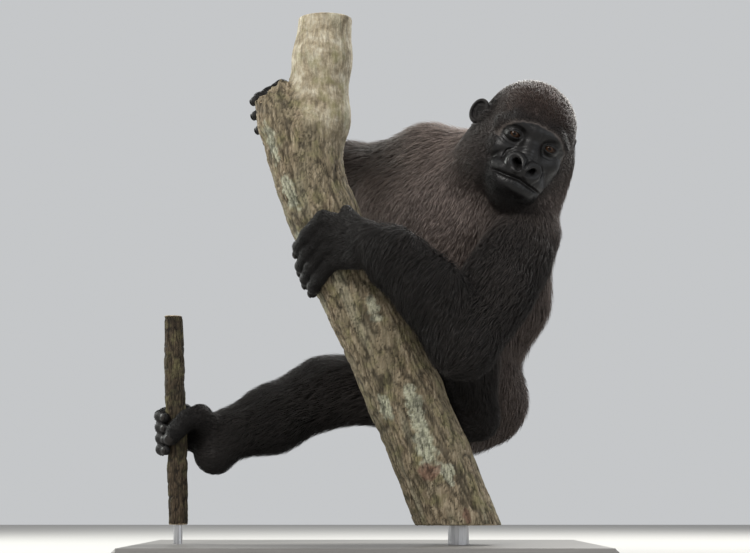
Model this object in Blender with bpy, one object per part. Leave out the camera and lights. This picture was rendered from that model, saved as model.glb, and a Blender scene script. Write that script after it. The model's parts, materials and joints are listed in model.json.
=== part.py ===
"""A young western lowland gorilla that clings to a leaning tree trunk, as a life-size museum model.

The body is blended from tapered limbs and rounded masses that follow a named skeleton, out to the
tips of the coat, and is then parted with thin cuts at the joints. Hands and feet close around the
two lengths of wood that they hold, and a flat stand carries the wood on two short rods.
Metres, +Z up, the animal faces -Y, and the origin is the middle of the underside of the stand.
"""
import math

import bmesh
import bpy
from mathutils import Matrix, Vector

# ---------------------------------------------------------------- driving dimensions
GAP = 0.0003                # clearance between pieces that touch
CUT = 0.0004                # thickness of the cuts that part the body
BODY_VOXEL = 0.006
FINE_VOXEL = 0.0035
EYE_RADIUS = 0.0115

BASE_SIZE = Vector((0.720, 0.600, 0.030))
BASE_BEVEL = 0.006
WOOD_FOOT = 0.060           # height of the lower saw cut of both lengths of wood
ROD_INSET = 0.022           # how far each rod stands in its piece of wood

WOOD_Y = -0.080             # the trunk leans in this plane
TRUNK = [                   # x, z, radius, from the saw cut up to the broken top
    (0.165, 0.000, 0.0615),
    (0.099, 0.166, 0.0605),
    (0.062, 0.254, 0.0600),
    (0.022, 0.345, 0.0575),
    (-0.030, 0.444, 0.0555),
    (-0.069, 0.543, 0.0550),
    (-0.102, 0.637, 0.0530),
    (-0.126, 0.685, 0.0440),
    (-0.144, 0.728, 0.0340),
]
BRANCH = [                  # the live fork: x, z, radius
    (-0.088, 0.590, 0.0440),
    (-0.074, 0.690, 0.0455),
    (-0.069, 0.784, 0.0430),
    (-0.064, 0.850, 0.0420),
]
TRUNK_LEAN = math.radians(22.0)
STEM = [                    # x, z, radius of the thin stem that the right foot holds
    (-0.2905, 0.000, 0.0160),
    (-0.2935, 0.150, 0.0155),
    (-0.2980, 0.260, 0.0155),
    (-0.3030, 0.385, 0.0150),
]
STEM_Y = -0.030

# ---------------------------------------------------------------- skeleton
SHOULDER_R = Vector((0.095, 0.050, 0.647))
ELBOW_R = Vector((-0.097, 0.225, 0.623))
WRIST_R = Vector((-0.116, 0.036, 0.688))
SHOULDER_L = Vector((0.247, -0.060, 0.508))
ELBOW_L = Vector((0.144, -0.220, 0.325))
WRIST_L = Vector((0.004, -0.182, 0.482))
HIP_R = Vector((0.145, 0.120, 0.280))
KNEE_R = Vector((-0.067, 0.090, 0.272))
ANKLE_R = Vector((-0.221, 0.000, 0.198))
HIP_L = Vector((0.196, 0.075, 0.256))
KNEE_L = Vector((0.150, -0.045, 0.396))
ANKLE_L = Vector((0.173, -0.026, 0.224))

HEAD = Vector((0.243, -0.070, 0.647))
HEAD_ROLL = math.radians(23.0)
HEAD_YAW = math.radians(7.5)
HEAD_PITCH = math.radians(-10.0)
EAR_OUT = {-1: 0.085, 1: 0.076}     # the left ear is pressed into the hair of the neck


def head_frame():
    """Columns: towards the animal's left ear, up through the crown, and out of the face."""
    roll = Matrix.Rotation(HEAD_ROLL, 3, "Y")
    yaw = Matrix.Rotation(HEAD_YAW, 3, "Z")
    pitch = Matrix.Rotation(-HEAD_PITCH, 3, "X")
    turn = pitch @ roll @ yaw
    return turn @ Vector((1, 0, 0)), turn @ Vector((0, 0, 1)), turn @ Vector((0, -1, 0))


HEAD_LEFT, HEAD_UP, HEAD_OUT = head_frame()


def on_head(left, up, out):
    """A point given in the head's own directions, from the middle between the ears."""
    return HEAD + HEAD_LEFT * left + HEAD_UP * up + HEAD_OUT * out


# ---------------------------------------------------------------- materials
def material(name, colour, roughness):
    """A Principled material for one kind of surface."""
    made = bpy.data.materials.new(name)
    made.use_nodes = True
    shader = made.node_tree.nodes["Principled BSDF"]
    shader.inputs["Base Color"].default_value = (*colour, 1.0)
    shader.inputs["Roughness"].default_value = roughness
    shader.inputs["Metallic"].default_value = 0.0
    made.diffuse_color = (*colour, 1.0)
    return made


# ---------------------------------------------------------------- modelling helpers
def clear_scene():
    """Remove every object that the file opens with."""
    for thing in list(bpy.data.objects):
        bpy.data.objects.remove(thing, do_unlink=True)


def new_object(name, mesh):
    """An object in the scene for a finished mesh."""
    made = bpy.data.objects.new(name, mesh)
    bpy.context.scene.collection.objects.link(made)
    return made


def baked(thing):
    """Replace an object's mesh by its evaluated one, without modifiers."""
    bpy.context.view_layer.update()
    graph = bpy.context.evaluated_depsgraph_get()
    mesh = bpy.data.meshes.new_from_object(thing.evaluated_get(graph))
    thing.modifiers.clear()
    thing.data = mesh
    return thing


def discard(*things):
    """Remove helpers that are no longer needed."""
    for thing in things:
        bpy.data.objects.remove(thing, do_unlink=True)


def add_capsule(bm, start, end, start_radius, end_radius):
    """A sphere pulled out along its axis into a tapered, round-ended limb."""
    ball = bmesh.ops.create_uvsphere(bm, u_segments=24, v_segments=14, radius=1.0)["verts"]
    axis = end - start
    turn = axis.to_track_quat("Z", "Y").to_matrix() if axis.length > 0 else Matrix.Identity(3)
    for vert in ball:
        upper = vert.co.z >= -0.001
        centre = end if upper else start
        radius = end_radius if upper else start_radius
        vert.co = centre + turn @ (vert.co * radius)


def add_mass(bm, centre, radii, frame=None):
    """An ellipsoid whose three half-widths lie along the frame's directions."""
    ball = bmesh.ops.create_uvsphere(bm, u_segments=28, v_segments=18, radius=1.0)["verts"]
    axes = frame or (Vector((1, 0, 0)), Vector((0, 1, 0)), Vector((0, 0, 1)))
    for vert in ball:
        spread = [axis * part * radius for axis, part, radius in zip(axes, vert.co, radii)]
        vert.co = centre + spread[0] + spread[1] + spread[2]


def blended(name, forms, voxel, rounds, triangles):
    """Fuse a list of limbs and masses into one smooth closed body of about that many triangles."""
    bm = bmesh.new()
    for form in forms:
        if len(form) == 4:
            add_capsule(bm, *form)
        else:
            add_mass(bm, *form)
    mesh = bpy.data.meshes.new(name)
    bm.to_mesh(mesh)
    bm.free()
    body = new_object(name, mesh)
    fuse = body.modifiers.new("fuse", "REMESH")
    fuse.mode = "VOXEL"
    fuse.voxel_size = voxel
    soften = body.modifiers.new("soften", "SMOOTH")
    soften.factor = 0.5
    soften.iterations = rounds
    baked(body)
    thin = body.modifiers.new("thin", "DECIMATE")
    body.data.calc_loop_triangles()
    thin.ratio = triangles / len(body.data.loop_triangles)
    thin.use_collapse_triangulate = True
    return baked(body)


def chain(points, radii):
    """The tapered limbs that join a row of points."""
    pairs = zip(points, points[1:], radii, radii[1:])
    return [(start, end, wide, narrow) for start, end, wide, narrow in pairs]


def swollen(thing, amount):
    """A working copy that is larger all over by a small amount."""
    copy = new_object(thing.name + "_cutter", thing.data.copy())
    copy.hide_render = True
    copy.display_type = "WIRE"
    grow = copy.modifiers.new("grow", "DISPLACE")
    grow.mid_level = 0.0
    grow.strength = amount
    return baked(copy)


def cut_away(thing, cutter):
    """Subtract one body from another."""
    boolean = thing.modifiers.new("cut", "BOOLEAN")
    boolean.operation = "DIFFERENCE"
    boolean.solver = "EXACT"
    boolean.object = cutter
    baked(thing)


def clear_of(thing, cutters, others):
    """Cut a body back to a hair's breadth from the whole shapes of its neighbours."""
    for other in others.split():
        cut_away(thing, cutters[other])


def slab(centre, normal, radius):
    """A thin round blade across a joint."""
    bm = bmesh.new()
    bmesh.ops.create_cone(
        bm, cap_ends=True, segments=24, radius1=radius, radius2=radius, depth=CUT,
        matrix=Matrix.Translation(centre) @ normal.to_track_quat("Z", "Y").to_matrix().to_4x4())
    mesh = bpy.data.meshes.new("blade")
    bm.to_mesh(mesh)
    bm.free()
    return new_object("blade", mesh)


def parted(body, cuts, labels, surface):
    """Part a body with thin cuts; each piece takes the name whose point lies nearest its middle."""
    for centre, normal, radius in cuts:
        blade = slab(centre, normal, radius)
        cut_away(body, blade)
        discard(blade)
    bm = bmesh.new()
    bm.from_mesh(body.data)
    bm.verts.ensure_lookup_table()
    left = set(bm.verts)
    pieces = []
    while left:
        island = {left.pop()}
        edge_of_island = list(island)
        while edge_of_island:
            vert = edge_of_island.pop()
            for edge in vert.link_edges:
                near = edge.other_vert(vert)
                if near in left:
                    left.remove(near)
                    island.add(near)
                    edge_of_island.append(near)
        pieces.append(island)
    pieces.sort(key=len, reverse=True)
    discard(body)
    free = dict(labels)
    for island in pieces[:len(labels)]:
        middle = sum((vert.co for vert in island), Vector()) / len(island)
        name = min(free, key=lambda label: (free[label] - middle).length)
        del free[name]
        island_object(bm, island, name, surface)
    bm.free()


def island_object(bm, island, name, surface):
    """Copy one connected piece of a mesh to an object of its own."""
    piece = bmesh.new()
    copies = {vert: piece.verts.new(vert.co) for vert in island}
    for face in bm.faces:
        if face.verts[0] in island:
            piece.faces.new([copies[vert] for vert in face.verts])
    mesh = bpy.data.meshes.new(name)
    piece.normal_update()
    piece.to_mesh(mesh)
    piece.free()
    finish_surface(mesh, surface)
    new_object(name, mesh)


def finish_surface(mesh, surface):
    """Give a mesh its one material and smooth shading between its real edges."""
    mesh.materials.clear()
    mesh.materials.append(surface)
    mesh.shade_smooth()
    mesh.set_sharp_from_angle(angle=math.radians(50))


# ---------------------------------------------------------------- places on and around the wood
def trunk_axis(height):
    """The middle of the trunk at a height, read between its named stations."""
    for (x0, z0, r0), (x1, z1, r1) in zip(TRUNK, TRUNK[1:]):
        if height <= z1:
            break
    share = (height - z0) / (z1 - z0)
    return Vector((x0 + (x1 - x0) * share, WOOD_Y, height)), r0 + (r1 - r0) * share


def by_trunk(height, degrees, clear):
    """A point that far off the bark; 0 degrees is the front, 90 the left, -90 the right."""
    centre, radius = trunk_axis(height)
    turn = math.radians(degrees)
    left = Vector((-math.cos(TRUNK_LEAN), 0, -math.sin(TRUNK_LEAN)))
    front = Vector((0, -1, 0))
    return centre + (left * math.sin(turn) + front * math.cos(turn)) * (radius + clear)


def by_stem(height, degrees, clear):
    """The same for the thin stem."""
    centre = Vector((STEM[2][0] + (STEM[1][0] - STEM[2][0]) * (0.26 - height) / 0.11, STEM_Y, height))
    turn = math.radians(degrees)
    reach = STEM[2][2] + clear
    return centre + Vector((-math.sin(turn), -math.cos(turn), 0)) * reach


def digit(place, start, turn, drop, lengths, thickness):
    """A finger or toe that bends round the wood from knuckle to tip.

    start is the knuckle's height and angle, turn the degrees it goes round per metre, and drop
    how far it sinks along the wood per metre.
    """
    height, angle = start
    points = [place(height, angle, thickness[0])]
    for length, thick in zip(lengths, thickness[1:]):
        height -= drop * length
        angle += turn * length
        points.append(place(height, angle, thick))
    return chain(points, [thick * 1.04 for thick in thickness])


# ---------------------------------------------------------------- wood and stand
def wood_rings(stations, depth, sides):
    """Rings of points across a bent length of wood."""
    centres = [Vector((x, depth, z)) for x, z, _ in stations]
    rings = []
    for index, (_, _, radius) in enumerate(stations):
        before = centres[max(index - 1, 0)]
        after = centres[min(index + 1, len(centres) - 1)]
        along = (after - before).normalized()
        across = Vector((0, 1, 0)).cross(along).normalized()
        ring = []
        for side in range(sides):
            turn = 2 * math.pi * side / sides
            spoke = across * math.cos(turn) + Vector((0, 1, 0)) * math.sin(turn)
            ring.append(centres[index] + spoke * radius)
        rings.append(ring)
    return rings


def wood(name, stations, depth, sides):
    """A closed tube of wood through its stations."""
    bm = bmesh.new()
    rings = [[bm.verts.new(point) for point in ring] for ring in wood_rings(stations, depth, sides)]
    for low, high in zip(rings, rings[1:]):
        for side in range(sides):
            after = (side + 1) % sides
            bm.faces.new((low[side], high[side], high[after], low[after]))
    bm.faces.new(rings[0])
    bm.faces.new(list(reversed(rings[-1])))
    bmesh.ops.recalc_face_normals(bm, faces=bm.faces)
    mesh = bpy.data.meshes.new(name)
    bm.to_mesh(mesh)
    bm.free()
    return new_object(name, mesh)


def block(name, low, high):
    """A plain box between two corners."""
    bm = bmesh.new()
    bmesh.ops.create_cube(bm, size=1.0)
    for vert in bm.verts:
        share = vert.co + Vector((0.5, 0.5, 0.5))
        vert.co = Vector([a + (b - a) * part for a, b, part in zip(low, high, share)])
    mesh = bpy.data.meshes.new(name)
    bm.to_mesh(mesh)
    bm.free()
    return new_object(name, mesh)


def rod(name, foot, top, radius):
    """An upright round rod."""
    bm = bmesh.new()
    middle = (foot + top) / 2
    bmesh.ops.create_cone(bm, cap_ends=True, segments=16, radius1=radius, radius2=radius,
                          depth=top.z - foot.z, matrix=Matrix.Translation(middle))
    mesh = bpy.data.meshes.new(name)
    bm.to_mesh(mesh)
    bm.free()
    return new_object(name, mesh)


def join_wood(thing, other):
    """Grow the second length of wood onto the first."""
    union = thing.modifiers.new("join", "BOOLEAN")
    union.operation = "UNION"
    union.solver = "EXACT"
    union.object = other
    baked(thing)
    discard(other)


def saw_level(thing, height):
    """Saw a length of wood off level at its lower end."""
    waste = block("waste", Vector((-0.5, -0.5, -0.2)), Vector((0.5, 0.5, height)))
    cut_away(thing, waste)
    discard(waste)


def build_wood():
    """The forked trunk and the thin stem, sawn level just above the base."""
    trunk = wood("perch_trunk", TRUNK, WOOD_Y, 20)
    branch = wood("branch", BRANCH, WOOD_Y, 18)
    join_wood(trunk, branch)
    saw_level(trunk, WOOD_FOOT)
    stem = wood("perch_stem", STEM, STEM_Y, 12)
    saw_level(stem, WOOD_FOOT)
    return trunk, stem


def build_stand(trunk, stem, board, steel):
    """The flat base, and the two rods that stand in sockets in the sawn ends of the wood."""
    half = BASE_SIZE / 2
    base = block("stand_base", Vector((-half.x, -half.y, 0)), Vector((half.x, half.y, BASE_SIZE.z)))
    edges = base.modifiers.new("edges", "BEVEL")
    edges.width = BASE_BEVEL
    edges.segments = 1
    baked(base)
    finish_surface(base.data, board)
    trunk_foot = trunk_axis(WOOD_FOOT)[0]
    stem_foot = Vector((STEM[0][0] + (STEM[1][0] - STEM[0][0]) * WOOD_FOOT / STEM[1][1], STEM_Y, 0))
    for name, wooden, centre, radius in (("stand_rod_trunk", trunk, trunk_foot, 0.016),
                                         ("stand_rod_stem", stem, stem_foot, 0.007)):
        foot = Vector((centre.x, centre.y, BASE_SIZE.z + GAP))
        top = Vector((centre.x, centre.y, WOOD_FOOT + ROD_INSET))
        post = rod(name, foot, top, radius)
        socket = rod("socket", foot, top + Vector((0, 0, GAP)), radius + GAP)
        cut_away(wooden, socket)
        discard(socket)
        finish_surface(post.data, steel)


# ---------------------------------------------------------------- the animal
FITTED = {                  # each body, and the neighbours whose shape it gives way to
    "arm_left": "perch_trunk",
    "arm_right": "perch_trunk",
    "leg_right": "perch_trunk perch_stem",
    "shank_left": "perch_trunk arm_left upper_arm_left",
    "foot_left": "perch_trunk shank_left",
    "upper_arm_left": "perch_trunk arm_left head",
    "upper_arm_right": "perch_trunk arm_right head",
    "thigh_left": "perch_trunk arm_left upper_arm_left shank_left foot_left leg_right",
    "torso": "perch_trunk head arm_left upper_arm_left arm_right upper_arm_right leg_right"
             " shank_left foot_left thigh_left",
}


def trunk_forms():
    """Chest, belly, pelvis, shoulders and neck, out to the tips of the coat."""
    chest_tilt = Matrix.Rotation(math.radians(16), 3, "Y")
    chest_axes = [chest_tilt @ Vector(axis) for axis in ((1, 0, 0), (0, 1, 0), (0, 0, 1))]
    return [
        (Vector((0.172, 0.036, 0.545)), (0.134, 0.112, 0.120), chest_axes),
        (Vector((0.181, 0.062, 0.420)), (0.114, 0.112, 0.108)),
        (Vector((0.166, 0.080, 0.330)), (0.082, 0.086, 0.085)),
        (Vector((0.148, 0.080, 0.252)), (0.088, 0.088, 0.084)),
        (HIP_L, HIP_L + Vector((-0.012, 0.012, 0.008)), 0.060, 0.058),
        (Vector((0.044, 0.075, 0.582)), Vector((0.120, 0.040, 0.540)), 0.066, 0.090),
        (Vector((0.236, 0.035, 0.492)), Vector((0.212, 0.055, 0.440)), 0.062, 0.084),
        (SHOULDER_R + Vector((0.020, 0.000, -0.008)), Vector((0.205, 0.020, 0.615)), 0.066, 0.070),
        (Vector((0.205, 0.025, 0.600)), HEAD + Vector((-0.004, 0.035, -0.020)), 0.080, 0.070),
        (SHOULDER_L + Vector((-0.030, 0.040, 0.020)), Vector((0.215, 0.000, 0.565)), 0.060, 0.070),
        (SHOULDER_L + Vector((-0.002, 0.015, 0.022)), on_head(0.058, 0.000, -0.024), 0.052, 0.040),
        (Vector((0.200, 0.080, 0.540)), Vector((0.190, 0.100, 0.420)), 0.070, 0.066),
    ]


def head_forms():
    """The skull, brow, nose, muzzle, cheeks and chin."""
    axes = (HEAD_LEFT, HEAD_UP, HEAD_OUT)
    forms = [
        (on_head(0.002, 0.032, -0.014), (0.078, 0.077, 0.088), axes),
        (on_head(0, 0.006, 0.026), (0.056, 0.060, 0.046), axes),
        (on_head(0, -0.048, 0.052), (0.046, 0.040, 0.044), axes),
        (on_head(0, -0.080, 0.042), (0.036, 0.026, 0.036), axes),
        (on_head(0, -0.030, 0.074), on_head(0, 0.014, 0.058), 0.021, 0.014),
        (on_head(-0.044, 0.031, 0.050), on_head(-0.018, 0.038, 0.064), 0.013, 0.0135),
        (on_head(0.044, 0.031, 0.050), on_head(0.018, 0.038, 0.064), 0.013, 0.0135),
        (on_head(-0.018, 0.038, 0.064), on_head(0.018, 0.038, 0.064), 0.0135, 0.0135),
        (on_head(-0.013, -0.033, 0.083), on_head(0.013, -0.033, 0.083), 0.0145, 0.0145),
        (on_head(-0.018, -0.068, 0.078), on_head(0.018, -0.068, 0.078), 0.012, 0.012),
        (on_head(-0.024, -0.050, 0.080), on_head(0.024, -0.050, 0.080), 0.014, 0.014),
    ]
    for side in (-1, 1):
        forms.append((on_head(side * 0.046, -0.036, 0.004), (0.034, 0.046, 0.040), axes))
        forms.append((on_head(side * 0.060, -0.010, -0.022), (0.022, 0.040, 0.030), axes))
        forms.append((on_head(side * 0.034, -0.012, 0.050), (0.020, 0.016, 0.016), axes))
    return forms


def ear_forms(side):
    """The upright shell of an ear on a short root: a thin plate inside a rolled rim."""
    middle = (side * EAR_OUT[side], 0.026, -0.012)
    axes = (HEAD_LEFT, HEAD_UP, HEAD_OUT)
    rim = []
    for step in range(7):
        turn = math.radians(-60 + 50 * step)
        rim.append(on_head(middle[0] + side * 0.003, middle[1] + 0.017 * math.sin(turn),
                           middle[2] - 0.012 * math.cos(turn)))
    root = (on_head(middle[0] - side * 0.016, 0.020, -0.008), on_head(*middle), 0.011, 0.009)
    return [(on_head(*middle), (0.008, 0.018, 0.013), axes), root, *chain(rim, [0.0048] * 7)]


def upper_arm_left_forms():
    """Shoulder to elbow of the arm that passes in front of the trunk."""
    triceps = (Vector((0.232, -0.095, 0.462)), Vector((0.176, -0.178, 0.362)), 0.055, 0.047)
    arm = [SHOULDER_L, Vector((0.193, -0.150, 0.413)), ELBOW_L]
    return [*chain(arm, [0.058, 0.056, 0.049]), triceps]


def forearm_left_forms():
    """Elbow to fingertips of the arm that passes in front of the trunk."""
    arm = [ELBOW_L, Vector((0.095, -0.215, 0.406)), Vector((0.045, -0.200, 0.456)), WRIST_L]
    forms = chain(arm, [0.051, 0.052, 0.048, 0.036])
    root = WRIST_L + Vector((-0.016, 0.010, 0.0))
    fingers = (((0.525, 3), (0.038, 0.027, 0.018)), ((0.504, 9), (0.044, 0.031, 0.020)),
               ((0.483, 12), (0.042, 0.029, 0.019)), ((0.462, 13), (0.034, 0.022, 0.017)))
    for number, (start, lengths) in enumerate(fingers):
        finger = digit(by_trunk, start, 787, 0.35, lengths, (0.0135, 0.0120, 0.0108, 0.0090))
        forms += finger
        palm = root + Vector((0.004, 0, 0.018 - 0.012 * number))
        forms.append((palm, finger[0][0], 0.021, 0.0150))
    thumb = [Vector((-0.014, -0.172, 0.497)), Vector((-0.021, -0.161, 0.516)),
             Vector((-0.029, -0.153, 0.532))]
    return forms + chain(thumb, [0.0160, 0.0125, 0.0100])


def upper_arm_right_forms():
    """Shoulder to elbow of the arm that passes behind the trunk."""
    arm = [SHOULDER_R, Vector((0.030, 0.110, 0.633)), Vector((-0.034, 0.168, 0.642)), ELBOW_R]
    return chain(arm, [0.060, 0.051, 0.056, 0.046])


def forearm_right_forms():
    """Elbow to fingertips of the arm that passes behind the trunk."""
    arm = [ELBOW_R, Vector((-0.112, 0.135, 0.655)), WRIST_R]
    forms = chain(arm, [0.048, 0.045, 0.034])
    root = WRIST_R + Vector((-0.004, -0.012, 0.004))
    fingers = (((0.742, 205), (0.032, 0.022, 0.016)), ((0.722, 205), (0.036, 0.025, 0.017)),
               ((0.701, 205), (0.035, 0.024, 0.017)), ((0.681, 205), (0.029, 0.020, 0.015)))
    for number, (start, lengths) in enumerate(fingers):
        finger = digit(by_trunk, start, -1060, 0.10, lengths, (0.0130, 0.0115, 0.0105, 0.0090))
        forms += finger
        palm = root + Vector((0.0, 0, 0.014 - 0.010 * number))
        forms.append((palm, finger[0][0], 0.020, 0.0145))
    thumb = [WRIST_R + Vector((0.004, -0.018, 0.0)), Vector((-0.092, -0.012, 0.700)),
             Vector((-0.076, -0.020, 0.716))]
    return forms + chain(thumb, [0.0160, 0.0125, 0.0100])


def leg_right_forms():
    """Hip to toes of the leg that reaches across to the thin stem."""
    leg = [HIP_R, Vector((0.038, 0.110, 0.282)), KNEE_R, Vector((-0.151, 0.045, 0.226)), ANKLE_R]
    forms = chain(leg, [0.076, 0.064, 0.057, 0.054, 0.041])
    heel = Vector((-0.237, -0.012, 0.170))
    forms.append((ANKLE_R, heel, 0.040, 0.031))
    tarsus = Vector((-0.245, -0.004, 0.196))
    forms.append((heel, tarsus, 0.030, 0.030))
    for height in (0.237, 0.220, 0.203, 0.186):
        toe = digit(by_stem, (height, 208), -2300, 0.17, (0.034, 0.022, 0.016),
                    (0.0100, 0.0092, 0.0086, 0.0075))
        forms += toe
        forms.append((tarsus, toe[0][0], 0.025, 0.0120))
    hallux = [Vector((-0.240, -0.020, 0.206)), Vector((-0.258, -0.046, 0.228)),
              by_stem(0.221, -38, 0.0150), by_stem(0.206, -6, 0.0130), by_stem(0.192, 14, 0.0110)]
    return forms + chain(hallux, [0.0240, 0.0175, 0.0150, 0.0130, 0.0110])


def thigh_left_forms():
    """Hip to knee of the folded leg."""
    return chain([HIP_L, KNEE_L], [0.062, 0.052])


def shank_left_forms():
    """Knee to ankle of the folded leg."""
    return chain([KNEE_L, Vector((0.159, -0.040, 0.312)), ANKLE_L], [0.052, 0.046, 0.036])


def foot_left_forms():
    """The foot of the folded leg, whose sole presses on the far side of the trunk, toes up."""
    heel = by_trunk(0.190, -126, 0.026)
    forms = [(ANKLE_L, heel, 0.034, 0.026)]
    toes = (((0.266, -107), (0.022, 0.014)), ((0.273, -120), (0.025, 0.016)),
            ((0.279, -133), (0.027, 0.017)), ((0.283, -146), (0.028, 0.018)))
    for start, lengths in toes:
        toe = digit(by_trunk, start, 130, -0.80, lengths, (0.0105, 0.0092, 0.0078))
        forms += toe
        forms.append((heel, toe[0][0], 0.024, 0.0120))
    hallux = [by_trunk(0.205, -146, 0.022), by_trunk(0.235, -172, 0.016),
              by_trunk(0.243, -200, 0.0135), by_trunk(0.247, -222, 0.0110)]
    return forms + chain(hallux, [0.0220, 0.0165, 0.0140, 0.0112])


def build_animal(coat, bare, eye, trunk, stem):
    """Model each stretch of the body whole, fit it to its neighbours, and part it at the joints."""
    torso = blended("torso", trunk_forms(), BODY_VOXEL, 6, 670)
    head = blended("head", head_forms(), FINE_VOXEL, 3, 1040)
    upper_arm_left = blended("upper_arm_left", upper_arm_left_forms(), BODY_VOXEL, 4, 130)
    arm_left = blended("arm_left", forearm_left_forms(), FINE_VOXEL, 4, 590)
    upper_arm_right = blended("upper_arm_right", upper_arm_right_forms(), BODY_VOXEL, 4, 120)
    arm_right = blended("arm_right", forearm_right_forms(), FINE_VOXEL, 4, 500)
    leg_right = blended("leg_right", leg_right_forms(), FINE_VOXEL, 4, 600)
    thigh_left = blended("thigh_left", thigh_left_forms(), BODY_VOXEL, 4, 130)
    shank_left = blended("shank_left", shank_left_forms(), BODY_VOXEL, 4, 130)
    foot_left = blended("foot_left", foot_left_forms(), FINE_VOXEL, 4, 370)

    bodies = {thing.name: thing for thing in (
        trunk, stem, torso, head, upper_arm_left, arm_left, upper_arm_right, arm_right,
        leg_right, shank_left, foot_left, thigh_left)}
    cutters = {name: swollen(thing, GAP) for name, thing in bodies.items()}
    for name, others in FITTED.items():
        clear_of(bodies[name], cutters, others)

    for side, name in ((-1, "right"), (1, "left")):
        globe = [(on_head(side * 0.030, 0.012, 0.0570), (EYE_RADIUS,) * 3)]
        ball = blended("eye_" + name, globe, 0.0015, 1, 90)
        cutters[ball.name] = swollen(ball, GAP)
        clear_of(head, cutters, ball.name)
        ear = blended("ear_" + name, ear_forms(side), 0.0020, 2, 110)
        clear_of(ear, cutters, "head torso")
        parted(ball, (), {ball.name: HEAD}, eye)
        parted(ear, (), {ear.name: HEAD}, bare)
    parted(head, (), {"head": HEAD}, coat)
    discard(*cutters.values())

    neck_cut = (Vector((0.208, 0.012, 0.608)), Vector((0.31, -0.79, 0.53)), 0.180)
    waist_cut = (Vector((0.176, 0.050, 0.468)), Vector((0.02, 0.0, 1.0)), 0.170)
    hip_cut = (Vector((0.165, 0.070, 0.345)), Vector((0.10, -0.1, 1.0)), 0.150)
    parted(torso, (neck_cut, waist_cut, hip_cut),
           {"neck": Vector((0.225, 0.0, 0.640)), "chest": Vector((0.170, 0.030, 0.550)),
            "belly": Vector((0.178, 0.045, 0.410)), "pelvis": Vector((0.150, 0.070, 0.260))}, coat)
    wrist_left_cut = (WRIST_L + Vector((-0.004, 0.002, 0)), Vector((-1.0, 0.35, 0.05)), 0.060)
    parted(arm_left, (wrist_left_cut,),
           {"forearm_left": Vector((0.07, -0.21, 0.42)), "hand_left": Vector((-0.05, -0.15, 0.49))}, coat)
    wrist_right_cut = (WRIST_R, Vector((-0.1, -1.0, 0.2)), 0.050)
    parted(arm_right, (wrist_right_cut,),
           {"forearm_right": Vector((-0.11, 0.13, 0.65)), "hand_right": Vector((-0.13, -0.03, 0.71))}, coat)
    knee_cut = (KNEE_R, Vector((1.0, 0.3, 0.25)), 0.085)
    ankle_cut = (ANKLE_R + Vector((0.012, 0.006, 0.004)), Vector((1.0, 0.5, 0.45)), 0.062)
    parted(leg_right, (knee_cut, ankle_cut),
           {"thigh_right": Vector((0.04, 0.11, 0.28)), "shank_right": Vector((-0.15, 0.045, 0.225)),
            "foot_right": Vector((-0.26, -0.02, 0.20))}, coat)
    for limb in (upper_arm_left, upper_arm_right, thigh_left, shank_left, foot_left):
        parted(limb, (), {limb.name: HEAD}, coat)


def main():
    """Build the wood, the animal on it, and the stand below it."""
    clear_scene()
    coat = material("coat", (0.035, 0.030, 0.028), 0.85)
    bare = material("bare_skin", (0.020, 0.018, 0.018), 0.45)
    eye = material("eye", (0.060, 0.025, 0.010), 0.10)
    bark = material("bark", (0.300, 0.240, 0.150), 0.90)
    dark_bark = material("dark_bark", (0.070, 0.045, 0.025), 0.90)
    board = material("stand_board", (0.160, 0.150, 0.140), 0.50)
    steel = material("stand_steel", (0.350, 0.350, 0.360), 0.35)
    trunk, stem = build_wood()
    build_animal(coat, bare, eye, trunk, stem)
    build_stand(trunk, stem, board, steel)
    finish_surface(trunk.data, bark)
    finish_surface(stem.data, dark_bark)


main()
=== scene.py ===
"""The looks of a life-size museum model: a young western lowland gorilla that clings to a leaning trunk.

One skin is blended from tapered limbs and rounded masses that follow the skeleton of the solids, a
coat's depth inside them. The face, ears, hands and feet are sculpted in the same field. Thin solid
tufts grow from the skin along the lie of the coat. Metres, +Z up, the animal faces -Y.
"""
import json
import math

import bmesh
import bpy
import numpy as np
from mathutils import Matrix, Vector
from mathutils.kdtree import KDTree

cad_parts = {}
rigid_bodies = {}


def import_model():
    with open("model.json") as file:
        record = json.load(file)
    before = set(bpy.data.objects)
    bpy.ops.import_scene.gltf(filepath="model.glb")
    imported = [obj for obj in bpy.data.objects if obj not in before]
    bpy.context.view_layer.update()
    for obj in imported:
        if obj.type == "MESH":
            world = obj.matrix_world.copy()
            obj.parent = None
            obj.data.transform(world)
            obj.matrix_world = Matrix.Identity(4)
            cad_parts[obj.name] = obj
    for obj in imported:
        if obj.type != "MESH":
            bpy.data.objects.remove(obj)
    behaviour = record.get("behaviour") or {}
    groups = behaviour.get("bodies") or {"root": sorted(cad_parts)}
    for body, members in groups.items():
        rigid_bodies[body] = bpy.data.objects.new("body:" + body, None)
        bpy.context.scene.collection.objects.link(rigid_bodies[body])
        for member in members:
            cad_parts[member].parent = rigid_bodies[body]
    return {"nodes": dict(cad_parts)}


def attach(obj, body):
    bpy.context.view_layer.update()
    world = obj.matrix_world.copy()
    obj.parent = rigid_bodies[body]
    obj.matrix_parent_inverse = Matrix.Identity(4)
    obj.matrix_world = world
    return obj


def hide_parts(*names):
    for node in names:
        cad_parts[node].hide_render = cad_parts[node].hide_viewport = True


# ---------------------------------------------------------------- driving dimensions
SKIN_STEP = 0.0025          # spacing of the grid that the skin is read on
COVERED_TRIANGLES = 22000   # faces of the skin that lie under the coat
TRUNK_STEP = 0.0025         # spacing of the grids that the two lengths of wood are read on
STEM_STEP = 0.0014
REACH = 0.030               # the field holds this much beyond every shape
EXACT = 0.004               # how far off a shape the field is exact, where no more is asked for
SLOPE_STEP = 0.0008         # distance of the four samples that a slope is read from
NEWTON_STEP = 0.003         # the longest step by which a point is drawn onto the surface
FACE_OUT = (0.020, 0.125)   # creases are cut between these two depths, out of the head's middle

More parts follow.
